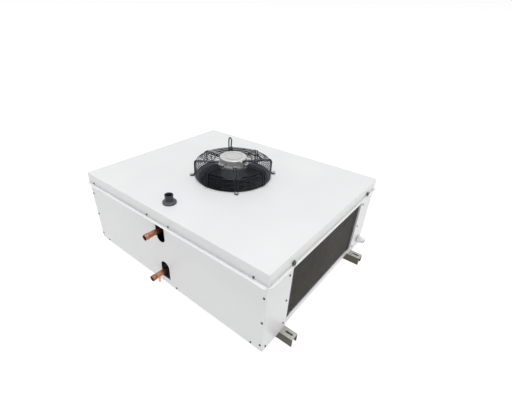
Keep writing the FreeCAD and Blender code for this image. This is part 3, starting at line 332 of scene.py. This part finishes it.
def copperPipe():
    finish = Finish("copperPipe", Metallic=1.0)
    # Dark bands in the copper: partly tarnish, partly a painted reflection of dark surroundings mirrored in
    # the pipes
    tarnishAndPaintedReflection = finish.noise(28.0, 5.0, None, 0.6)
    draw = finish.noise(120.0, 3.0, finish.stretched((1.0, 0.03, 1.0)))
    shade = finish.ramp(tarnishAndPaintedReflection * 0.45 + draw * 0.55, 0.36, 0.64)
    finish.feed("Base Color", finish.mixed(shade, (0.80, 0.41, 0.26), (0.24, 0.085, 0.05)))
    finish.feed("Roughness", 0.22 + draw * 0.14 + tarnishAndPaintedReflection * 0.12)
    finish.bump(draw, 0.06, 0.0002)
    return finish.material


def brassBar():
    finish = Finish("brassBar", Metallic=1.0)
    turned = finish.noise(160.0, 2.0, finish.stretched((0.1, 1.0, 0.1)))
    finish.feed("Base Color", finish.mixed(turned, (0.72, 0.55, 0.28), (0.58, 0.42, 0.20)))
    finish.feed("Roughness", 0.26 + turned * 0.12)
    finish.bump(turned, 0.1, 0.0002)
    return finish.material


def guardCoat():
    finish = Finish("guardCoat", Specular_IOR_Level=0.4)
    patch = finish.noise(35.0, 4.0)
    finish.feed("Base Color", finish.mixed(patch, (0.004, 0.006, 0.011), (0.011, 0.015, 0.024)))
    finish.feed("Roughness", 0.3 + patch * 0.15)
    finish.bump(finish.noise(1500.0), 0.12, 0.0002)
    return finish.material


def rotorCoat():
    finish = Finish("rotorCoat", Metallic=0.25)
    patch = finish.noise(22.0, 4.0)
    finish.feed("Base Color", finish.mixed(patch, (0.110, 0.112, 0.122), (0.21, 0.205, 0.215)))
    finish.feed("Roughness", 0.36 + patch * 0.14)
    finish.bump(finish.noise(900.0), 0.1, 0.0003)
    return finish.material


def bladeCoat():
    finish = Finish("bladeCoat", Metallic=0.3)
    patch = finish.noise(26.0, 5.0)
    scuff = finish.noise(90.0, 4.0, finish.stretched((1.0, 1.0, 0.2)))
    stain = patch * 0.6 + scuff * 0.4
    finish.feed("Base Color", finish.mixed(stain, (0.20, 0.215, 0.25), (0.44, 0.445, 0.47)))
    finish.feed("Roughness", 0.3 + patch * 0.2)
    finish.bump(scuff, 0.1, 0.0003)
    return finish.material


def castMotor():
    finish = Finish("castMotor", Metallic=0.6)
    skin = finish.noise(650.0, 4.0, None, 0.65)
    patch = finish.noise(18.0, 3.0)
    # Painted light and shade: the crown's top is a lighter grey than the side wall below it, painted light
    # where the top faces the overhead light and painted shade down the side
    crownPaintedLight = finish.change(finish.height(), "motorCrown", 2.0)
    stain = patch * 0.6 + skin * 0.4
    side = finish.mixed(stain, (0.36, 0.36, 0.365), (0.54, 0.54, 0.545))
    top = finish.mixed(stain, (0.52, 0.52, 0.515), (0.72, 0.72, 0.715))
    finish.feed("Base Color", finish.mixed(crownPaintedLight, side, top))
    finish.feed("Roughness", 0.42 + skin * 0.2)
    finish.bump(skin, 0.35, 0.0004)
    return finish.material


def coreStack():
    finish = Finish("coreStack", Metallic=0.7)
    sheets = finish.noise(300.0, 2.0, finish.stretched((0.02, 0.02, 5.0)))
    finish.feed("Base Color", finish.mixed(sheets, (0.10, 0.095, 0.09), (0.22, 0.21, 0.20)))
    finish.feed("Roughness", 0.5 + sheets * 0.15)
    finish.bump(sheets, 0.3, 0.0003)
    return finish.material


def zincPlate():
    finish = Finish("zincPlate", Metallic=0.95)
    haze = finish.noise(240.0, 3.0)
    finish.feed("Base Color", finish.mixed(haze, (0.50, 0.51, 0.52), (0.68, 0.69, 0.70)))
    finish.feed("Roughness", 0.26 + haze * 0.16)
    return finish.material


def blackenedSteel():
    finish = Finish("blackenedSteel", Metallic=0.8)
    haze = finish.noise(300.0, 4.0)
    finish.feed("Base Color", finish.mixed(haze, (0.055, 0.055, 0.058), (0.14, 0.14, 0.142)))
    finish.feed("Roughness", 0.36 + haze * 0.18)
    finish.bump(haze, 0.12, 0.0002)
    return finish.material


def blackRubber():
    finish = Finish("blackRubber")
    dust = finish.noise(45.0, 5.0)
    finish.feed("Base Color", finish.mixed(dust, (0.008, 0.009, 0.011), (0.022, 0.024, 0.028)))
    finish.feed("Roughness", 0.55 + dust * 0.2)
    finish.bump(finish.noise(1100.0), 0.2, 0.0002)
    return finish.material


def sealFoam():
    finish = Finish("sealFoam")
    cells = finish.noise(900.0, 4.0, None, 0.7)
    haze = finish.noise(14.0, 3.0)
    stain = haze * 0.6 + cells * 0.4
    finish.feed("Base Color", finish.mixed(stain, (0.010, 0.010, 0.011), (0.026, 0.026, 0.028)))
    finish.feed("Roughness", 0.7 + cells * 0.2)
    finish.bump(cells, 0.4, 0.0004)
    return finish.material


def blackPlastic():
    finish = Finish("blackPlastic")
    grain = finish.noise(1000.0, 3.0)
    haze = finish.noise(30.0, 3.0)
    finish.feed("Base Color", finish.mixed(haze, (0.018, 0.025, 0.036), (0.034, 0.044, 0.058)))
    finish.feed("Roughness", 0.34 + haze * 0.14)
    finish.bump(grain, 0.15, 0.0002)
    return finish.material


def spigotPlastic():
    finish = Finish("spigotPlastic")
    haze = finish.noise(40.0, 4.0)
    tube = finish.change(finish.height(), "spigotTube", 2.0)
    collar = finish.mixed(haze, (0.045, 0.052, 0.062), (0.085, 0.095, 0.110))
    neck = finish.mixed(haze, (0.012, 0.020, 0.032), (0.028, 0.038, 0.054))
    finish.feed("Base Color", finish.mixed(tube, collar, neck))
    finish.feed("Roughness", 0.3 + haze * 0.16)
    finish.bump(finish.noise(1000.0, 3.0), 0.15, 0.0002)
    return finish.material


def greyPlastic():
    finish = Finish("greyPlastic")
    grain = finish.noise(900.0, 3.0)
    finish.feed("Base Color", finish.mixed(finish.noise(20.0), (0.42, 0.43, 0.44), (0.50, 0.51, 0.52)))
    finish.feed("Roughness", 0.45 + grain * 0.15)
    finish.bump(grain, 0.2, 0.0003)
    return finish.material


def whiteNylon():
    finish = Finish("whiteNylon")
    haze = finish.noise(60.0, 3.0)
    finish.feed("Base Color", finish.mixed(haze, (0.70, 0.70, 0.68), (0.78, 0.78, 0.76)))
    finish.feed("Roughness", 0.34 + haze * 0.12)
    finish.bump(finish.noise(1300.0), 0.1, 0.0002)
    return finish.material


# Which finish each CAD node wears
dress = {
    "whitePowderCoat": (whitePowderCoat, (
        "ceiling_plate", "pipe_end_panel", "wiring_end_panel", "drain_pan_cover", "corner_post_front_left",
        "corner_post_front_right", "corner_post_rear_left", "corner_post_rear_right")),
    "bellmouthPaintAndShade": (bellmouthPaintAndShade, ("fan_ring",)),
    "galvanisedSheet": (galvanisedSheet, ("tube_plate_pipe_end", "tube_plate_wiring_end")),
    "railZinc": (railZinc, ("coil_rails",)),
    "channelSteel": (channelSteel, ("mounting_channel_front", "mounting_channel_rear")),
    "finFoil": (finFoil, ("fin_pack_left", "fin_pack_right")),
    "copperPipe": (copperPipe, (
        "coil_tubes_left", "coil_tubes_right", "return_bends", "suction_manifold", "suction_pipe",
        "liquid_pipe", "feeder_tubes_left", "feeder_tubes_right")),
    "brassBar": (brassBar, ("distributor",)),
    "guardCoat": (guardCoat, ("fan_guard",)),
    "rotorCoat": (rotorCoat, ("motor_rotor",)),
    "bladeCoat": (bladeCoat, ("fan_impeller",)),
    "castMotor": (castMotor, ("motor_flange", "motor_end_cap")),
    "coreStack": (coreStack, ("stator_core",)),
    "zincPlate": (zincPlate, (
        "guard_clamps", "guard_clamp_screws", "guard_foot_washers", "guard_foot_screws", "motor_shaft",
        "motor_bearings", "cover_screws", "end_panel_screws", "post_screws", "channel_bolts",
        "channel_nuts")),
    "blackenedSteel": (blackenedSteel, ("cover_bolts", "cover_bolt_washers")),
    "blackRubber": (blackRubber, (
        "motor_cable", "motor_cable_bush", "cable_grommets", "drain_gasket", "gland_washer", "gland_seal")),
    "sealFoam": (sealFoam, ("coil_seals",)),
    "spigotPlastic": (spigotPlastic, ("drain_spigot",)),
    "blackPlastic": (blackPlastic, ("drain_locknut", "cable_tie")),
    "greyPlastic": (greyPlastic, ("terminal_box", "terminal_box_lid")),
    "whiteNylon": (whiteNylon, ("gland_body", "gland_dome_nut", "gland_locknut")),
}
finishes = {}


def dressNodes():
    for name, (make, wearers) in dress.items():
        finishes[name] = make()
        for node in wearers:
            mesh = nodes[node].data
            mesh.materials.clear()
            mesh.materials.append(finishes[name])


# A new piece: a bmesh made into an object that rides on its body
def addPiece(name, shape, finish, body="casing", hides=(), smoothBelow=35.0):
    for edge in shape.edges:
        edge.smooth = len(edge.link_faces) == 2 and edge.calc_face_angle(0.0) < math.radians(smoothBelow)
    for face in shape.faces:
        face.smooth = True
    mesh = bpy.data.meshes.new(name)
    shape.to_mesh(mesh)
    shape.free()
    mesh.materials.append(finishes[finish])
    piece = bpy.data.objects.new(name, mesh)
    bpy.context.collection.objects.link(piece)
    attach(piece, body)
    if hides:
        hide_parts(*hides)
    return piece


uprightTurn = Matrix.Rotation(math.pi / 2, 3, "X")


# Fin packs: thin corrugated foils across the tubes
fins = {"pitch": 0.0042, "thickness": 0.00028, "waves": 8, "waveHeight": 0.0007}


def addFins(side):
    node = "fin_pack_" + side
    low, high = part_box(node)
    count = int((high[1] - low[1]) / fins["pitch"])
    step = (high[1] - low[1] - fins["thickness"]) / (count - 1)
    shape = bmesh.new()
    bmesh.ops.create_grid(shape, x_segments=2 * fins["waves"], y_segments=1, size=0.5)
    bmesh.ops.rotate(shape, verts=shape.verts, cent=(0, 0, 0), matrix=uprightTurn)
    bmesh.ops.scale(shape, verts=shape.verts, vec=(high[0] - low[0], 1, high[2] - low[2]))
    middle = ((low[0] + high[0]) / 2, low[1], (low[2] + high[2]) / 2)
    bmesh.ops.translate(shape, verts=shape.verts, vec=middle)
    columns = sorted({round(vert.co.x, 6) for vert in shape.verts})
    for vert in shape.verts:
        raised = columns.index(round(vert.co.x, 6)) % 2
        vert.co.y += fins["waveHeight"] * raised
    back = bmesh.ops.duplicate(shape, geom=shape.verts[:] + shape.edges[:] + shape.faces[:])["geom"]
    backVerts = [item for item in back if isinstance(item, bmesh.types.BMVert)]
    bmesh.ops.translate(shape, verts=backVerts, vec=(0, fins["thickness"], 0))
    bmesh.ops.reverse_faces(shape, faces=[item for item in back if isinstance(item, bmesh.types.BMFace)])
    rims = [edge for edge in shape.edges if edge.is_boundary]
    bmesh.ops.bridge_loops(shape, edges=rims)
    bmesh.ops.recalc_face_normals(shape, faces=shape.faces)
    single = shape.verts[:] + shape.edges[:] + shape.faces[:]
    for number in range(1, count):
        copy = bmesh.ops.duplicate(shape, geom=single)["geom"]
        copyVerts = [item for item in copy if isinstance(item, bmesh.types.BMVert)]
        bmesh.ops.translate(shape, verts=copyVerts, vec=(0, step * number, 0))
    return addPiece("fins_" + side, shape, "finFoil", hides=(node,))


wires = {"longestReach": 0.45, "arcStep": 15.0, "mitreShare": 0.5, "sharpest": 0.5}


# A path of straight runs joined by arcs, as a list of points
def bentPath(corners, bend):
    points = [corners[0]]
    for before, corner, after in zip(corners, corners[1:], corners[2:]):
        back, ahead = (before - corner), (after - corner)
        half = back.angle(ahead) / 2
        radius = min(bend, wires["longestReach"] * min(back.length, ahead.length) * math.tan(half))
        reach = radius / math.tan(half)
        inward = (back.normalized() + ahead.normalized()).normalized()
        centre = corner + inward * (radius / math.sin(half))
        start = corner + back.normalized() * reach - centre
        stop = corner + ahead.normalized() * reach - centre
        steps = max(2, round(math.degrees(start.angle(stop)) / wires["arcStep"]))
        for step in range(steps + 1):
            points.append(centre + start.slerp(stop, step / steps).normalized() * radius)
    return points + [corners[-1]]


def freshNeighbour(vert, fresh):
    return next(edge.other_vert(vert) for edge in vert.link_edges if edge.other_vert(vert) in fresh)


# A round wire along a path, its ends closed; radii may differ from point to point
def growWire(points, radii, sides):
    shape = bmesh.new()
    headings = [(after - before).normalized() for before, after in zip(points, points[1:])]
    turn = Vector((0, 0, 1)).rotation_difference(headings[0]).to_matrix()
    bmesh.ops.create_circle(shape, cap_ends=True, segments=sides, radius=1.0)
    spokes = [turn @ vert.co for vert in shape.verts]
    for vert, spoke in zip(shape.verts, spokes):
        vert.co = points[0] + spoke * radii[0]
    rim, ring = shape.edges[:], shape.verts[:]
    for number in range(1, len(points)):
        before, after = headings[number - 1], headings[min(number, len(headings) - 1)]
        heading = (after + before).normalized()
        turn = before.rotation_difference(heading).to_matrix()
        onward = heading.rotation_difference(after).to_matrix()
        grown = bmesh.ops.extrude_edge_only(shape, edges=rim)["geom"]
        fresh = {item for item in grown if isinstance(item, bmesh.types.BMVert)}
        ring = [freshNeighbour(vert, fresh) for vert in ring]
        mitre = 1 / max(wires["sharpest"], before.dot(heading))
        for index, vert in enumerate(ring):
            spokes[index] = turn @ spokes[index]
            vert.co = points[number] + spokes[index] * radii[number] * (1 + (mitre - 1) * wires["mitreShare"])
            spokes[index] = onward @ spokes[index]
        edges = [item for item in grown if isinstance(item, bmesh.types.BMEdge)]
        rim = [edge for edge in edges if all(vert in fresh for vert in edge.verts)]
    bmesh.ops.edgenet_fill(shape, edges=rim)
    bmesh.ops.recalc_face_normals(shape, faces=shape.faces)
    return shape


def blend(whole, part):
    mesh = bpy.data.meshes.new("part")
    part.to_mesh(mesh)
    part.free()
    whole.from_mesh(mesh)
    bpy.data.meshes.remove(mesh)


# Fan guard: hairpin ribs, every second one with a foot, and the rings inside them
guard = {
    "ribs": 8, "ribWire": 0.00225, "ribGap": 0.006, "bend": 0.009, "ribSides": 10,
    "motorEnd": 0.06525, "motorEndHeight": 0.4195, "corner": 0.16945, "top": 0.424,
    "foot": 0.18945, "footHeight": 0.35975, "base": 0.3578,
    "ringWire": 0.0015, "ringBite": 0.00295, "pitch": 0.009, "ringSides": 8, "ringSteps": 96,
    "sideRing": 0.1665, "sideLow": 0.3592, "sideCount": 7,
    "topRing": 0.1615, "topCount": 9, "slope": 0.045825}


def addGuard():
    whole = bmesh.new()
    for number in range(guard["ribs"]):
        side = [Vector((guard["motorEnd"], guard["ribGap"], guard["motorEndHeight"])),
                Vector((guard["corner"], guard["ribGap"], guard["top"]))]
        if number % 2:
            side += [Vector((guard["corner"], guard["ribGap"], guard["footHeight"])),
                     Vector((guard["foot"], guard["ribGap"], guard["footHeight"]))]
        else:
            side.append(Vector((guard["corner"], guard["ribGap"], guard["base"])))
        other = [Vector((point.x, -point.y, point.z)) for point in side]
        if number % 2:
            seam = (side[0] + side[1]) / 2
            corners = [seam] + side[1:] + other[::-1] + [side[0], seam]
        else:
            corners = side[::-1] + other
        path = bentPath(corners, guard["bend"])
        rib = growWire(path, [guard["ribWire"]] * len(path), guard["ribSides"])
        spin = Matrix.Rotation(2 * math.pi * number / guard["ribs"], 3, "Z")
        bmesh.ops.rotate(rib, verts=rib.verts, cent=(0, 0, 0), matrix=spin)
        blend(whole, rib)
    rings = []
    for number in range(guard["sideCount"]):
        rings.append((guard["sideRing"], guard["sideLow"] + guard["pitch"] * number))
    for number in range(guard["topCount"]):
        radius = guard["topRing"] - guard["pitch"] * number
        fall = guard["slope"] * (guard["corner"] - radius)
        rings.append((radius, guard["top"] - fall - guard["ringBite"]))
    for radius, height in rings:
        ring = bmesh.new()
        bmesh.ops.create_circle(ring, segments=guard["ringSides"], radius=guard["ringWire"])
        bmesh.ops.rotate(ring, verts=ring.verts, cent=(0, 0, 0), matrix=uprightTurn)
        bmesh.ops.translate(ring, verts=ring.verts, vec=(radius, 0, height))
        bmesh.ops.spin(ring, geom=ring.edges[:], cent=(0, 0, 0), axis=(0, 0, 1), angle=2 * math.pi,
                       steps=guard["ringSteps"], use_merge=True)
        bmesh.ops.recalc_face_normals(ring, faces=ring.faces)
        blend(whole, ring)
    return addPiece("guard_wires", whole, "guardCoat", hides=("fan_guard",))


mergeDistance = 1e-6


# Screws and bolts stand where the CAD ones do, so their places are read from those nodes
def looseParts(node):
    shape = bmesh.new()
    shape.from_mesh(nodes[node].data)
    bmesh.ops.remove_doubles(shape, verts=shape.verts, dist=mergeDistance)
    parts, seen = [], set()
    for first in shape.verts:
        if first in seen:
            continue
        seen.add(first)
        found, edge = [], [first]
        while edge:
            vert = edge.pop()
            found.append(vert.co.copy())
            neighbours = [link.other_vert(vert) for link in vert.link_edges]
            fresh = [other for other in neighbours if other not in seen]
            seen.update(fresh)
            edge.extend(fresh)
        parts.append(found)
    shape.free()
    return parts


def boxOf(part):
    low = Vector(min(point[k] for point in part) for k in range(3))
    high = Vector(max(point[k] for point in part) for k in range(3))
    return low, high


headShare = 0.8   # a point farther out than this share of the head's radius belongs to the head


# The middle of the face under the head, the way the head points, and the head's radius and height
def screwSeat(part):
    low, high = boxOf(part)
    size = high - low
    along = min(range(3), key=lambda k: abs(size[(k + 1) % 3] - size[(k + 2) % 3]))
    middle = (low + high) / 2
    across = [k for k in range(3) if k != along]
    reach = [math.hypot(*(point[k] - middle[k] for k in across)) for point in part]
    headRadius = max(reach)
    head = [point[along] for point, distance in zip(part, reach) if distance > headRadius * headShare]
    out = Vector((0, 0, 0))
    out[along] = 1 if sum(head) / len(head) > middle[along] else -1
    seat = middle.copy()
    seat[along] = min(head) if out[along] > 0 else max(head)
    tip = high[along] if out[along] > 0 else low[along]
    return seat, out, headRadius, abs(tip - seat[along]), size[along]


# Return bends: half rings, each read from its CAD piece's box
bends = {"sides": 10, "steps": 12}


def addReturnBends():
    whole = bmesh.new()
    for part in looseParts("return_bends"):
        low, high = boxOf(part)
        size = high - low
        upright = size.z > size.x
        tube = (size.x if upright else size.z) / 2
        swing = (size.z if upright else size.x) / 2 - tube
        rear = (low.y + high.y) > 0
        middle = Vector(((low.x + high.x) / 2, low.y if rear else high.y, (low.z + high.z) / 2))
        bend = bmesh.new()
        bmesh.ops.create_circle(bend, cap_ends=True, segments=bends["sides"], radius=tube)
        offset = Vector((0, 0, swing)) if upright else Vector((swing, 0, 0))
        axis = (1, 0, 0) if upright else (0, 0, 1)
        side = (1 if rear else -1) * (-1 if upright else 1)
        bmesh.ops.rotate(bend, verts=bend.verts, cent=(0, 0, 0), matrix=uprightTurn)
        bmesh.ops.translate(bend, verts=bend.verts, vec=middle + offset)
        bmesh.ops.spin(bend, geom=bend.faces[:] + bend.edges[:], cent=middle, axis=axis,
                       angle=math.pi * side, steps=bends["steps"])
        bmesh.ops.recalc_face_normals(bend, faces=bend.faces)
        blend(whole, bend)
    return addPiece("return_bends_dressed", whole, "copperPipe", hides=("return_bends",))


def growRing(shape, edges, radius, height):
    grown = bmesh.ops.extrude_edge_only(shape, edges=edges)["geom"]
    for vert in (item for item in grown if isinstance(item, bmesh.types.BMVert)):
        flat = Vector((vert.co.x, vert.co.y, 0)).normalized() * radius
        vert.co = Vector((flat.x, flat.y, height))
    return [item for item in grown if isinstance(item, bmesh.types.BMEdge) and item.is_boundary]


# The lobed face in the middle of a head, which is sunk once the rest is grown round it
def drivePlate(shape, drive, radius, height):
    bmesh.ops.create_circle(shape, cap_ends=True, segments=drive["segments"], radius=radius)
    for vert in shape.verts:
        vert.co *= 1 + drive["lobe"] * math.cos(drive["lobes"] * math.atan2(vert.co.y, vert.co.x))
        vert.co.z = height
    return shape.faces[:]


def sinkDrive(shape, cap, floor, depth):
    sunk = bmesh.ops.extrude_discrete_faces(shape, faces=cap)["faces"]
    floorVerts = list({vert for face in sunk for vert in face.verts})
    bmesh.ops.scale(shape, verts=floorVerts, vec=(floor, floor, 1))
    bmesh.ops.translate(shape, verts=floorVerts, vec=(0, 0, -depth))
    bmesh.ops.recalc_face_normals(shape, faces=shape.faces)


# Shares of the head's radius and height; the profile runs from the head's top down to the shank
screwDrive = {"radius": 0.42, "lobes": 6, "lobe": 0.15, "depth": 0.55, "floor": 0.86, "segments": 24,
              "land": 0.62, "profile": ((0.84, 0.86), (0.96, 0.6), (1.0, 0.3), (1.0, 0.0)), "shank": 0.5}


# One pan head screw about the origin, head up, with a six-lobe drive
def panScrew(radius, height, length):
    shape = bmesh.new()
    cap = drivePlate(shape, screwDrive, radius * screwDrive["radius"], height)
    rim = growRing(shape, shape.edges[:], radius * screwDrive["land"], height)
    for share, level in screwDrive["profile"] + ((screwDrive["shank"], 0.0),):
        rim = growRing(shape, rim, radius * share, height * level)
    rim = growRing(shape, rim, radius * screwDrive["shank"], height - length)
    bmesh.ops.edgenet_fill(shape, edges=rim)
    sinkDrive(shape, cap, screwDrive["floor"], height * screwDrive["depth"])
    return shape


boltHead = {"flats": 0.013, "driveRadius": 0.0034, "driveDepth": 0.003, "lobes": 6, "lobe": 0.14,
            "segments": 24, "land": 0.46, "chamfer": 0.86, "shank": 0.55}


# One hexagon bolt about the origin, head up, with a chamfered rim and a star drive
def hexBolt(radius, height, length):
    shape = bmesh.new()
    cap = drivePlate(shape, boltHead, boltHead["driveRadius"], height)
    rim = growRing(shape, shape.edges[:], boltHead["flats"] * boltHead["land"], height)
    for top in (height * boltHead["chamfer"], 0.0):
        rim = growRing(shape, rim, boltHead["flats"] / 2, top)
        for vert in {vert for edge in rim for vert in edge.verts}:
            angle = math.atan2(vert.co.y, vert.co.x) % (math.pi / 3) - math.pi / 6
            reach = boltHead["flats"] / 2 / math.cos(angle)
            vert.co.x, vert.co.y = vert.co.xy.normalized() * reach
    rim = growRing(shape, rim, radius * boltHead["shank"], 0.0)
    rim = growRing(shape, rim, radius * boltHead["shank"], height - length)
    bmesh.ops.edgenet_fill(shape, edges=rim)
    sinkDrive(shape, cap, 1.0, boltHead["driveDepth"])
    return shape


screwTurn = 0.7   # radians from one screw's drive to the next one's


def addFasteners(node, make, finish):
    whole = bmesh.new()
    for number, part in enumerate(looseParts(node)):
        seat, out, radius, height, length = screwSeat(part)
        one = make(radius, height, length)
        turn = Vector((0, 0, 1)).rotation_difference(out).to_matrix()
        if make is panScrew:
            turn = turn @ Matrix.Rotation(screwTurn * number, 3, "Z")
        bmesh.ops.transform(one, verts=one.verts, matrix=Matrix.Translation(seat) @ turn.to_4x4())
        blend(whole, one)
    return addPiece(node + "_dressed", whole, finish, hides=(node,))


# A closed outline of radius and height pairs, spun round the vertical axis
def turned(outline, steps):
    shape = bmesh.new()
    verts = [shape.verts.new((radius, 0, height)) for radius, height in outline]
    edges = [shape.edges.new(pair) for pair in zip(verts, verts[1:] + verts[:1])]
    bmesh.ops.spin(shape, geom=verts + edges, cent=(0, 0, 0), axis=(0, 0, 1), angle=2 * math.pi,
                   steps=steps, use_merge=True)
    bmesh.ops.recalc_face_normals(shape, faces=shape.faces)
    return shape


# Strain relief where the cable leaves the motor: a ribbed taper round the cable's first straight run
relief = {"angle": -15.0, "radius": 0.0637, "height": 0.4382, "length": 0.019, "bore": 0.00305,
          "wide": 0.0044, "narrow": 0.0036, "ribs": 6, "ribEnd": 0.6, "grooveStart": 0.7, "grooveEnd": 0.95,
          "groove": 0.0006, "thinnest": 0.0001, "steps": 24}


def addRelief():
    pitch = relief["length"] / relief["ribs"]
    outline = [(relief["bore"], 0.0)]
    for number in range(relief["ribs"]):
        share = number / (relief["ribs"] - 1)
        radius = relief["wide"] + (relief["narrow"] - relief["wide"]) * share
        foot = pitch * number
        neck = max(radius - relief["groove"], relief["bore"] + relief["thinnest"])
        outline += [(radius, foot), (radius, foot + pitch * relief["ribEnd"])]
        outline += [(neck, foot + pitch * relief["grooveStart"]), (neck, foot + pitch * relief["grooveEnd"])]
    outline += [(relief["bore"], relief["length"])]
    shape = turned(outline, relief["steps"])
    angle = math.radians(relief["angle"])
    outward = Vector((math.cos(angle), math.sin(angle), 0))
    heading = Vector((-outward.y, outward.x, 0))
    face = outward * relief["radius"] + Vector((0, 0, relief["height"]))
    spin = Vector((0, 0, 1)).rotation_difference(heading).to_matrix()
    bmesh.ops.transform(shape, verts=shape.verts, matrix=Matrix.Translation(face) @ spin.to_4x4())
    return addPiece("cable_relief", shape, "blackRubber", hides=("motor_cable_bush",))


addCamera()
addStudio()
dressNodes()
print("nodes dressed")
for side in ("left", "right"):
    addFins(side)
print("fins made")
addGuard()
addReturnBends()
addRelief()
print("guard, return bends and strain relief made")
for node in ("cover_screws", "end_panel_screws", "post_screws"):
    addFasteners(node, panScrew, "blackenedSteel")
for node in ("guard_clamp_screws", "guard_foot_screws"):
    addFasteners(node, panScrew, "zincPlate")
addFasteners("cover_bolts", hexBolt, "blackenedSteel")
print("screws and bolts made")
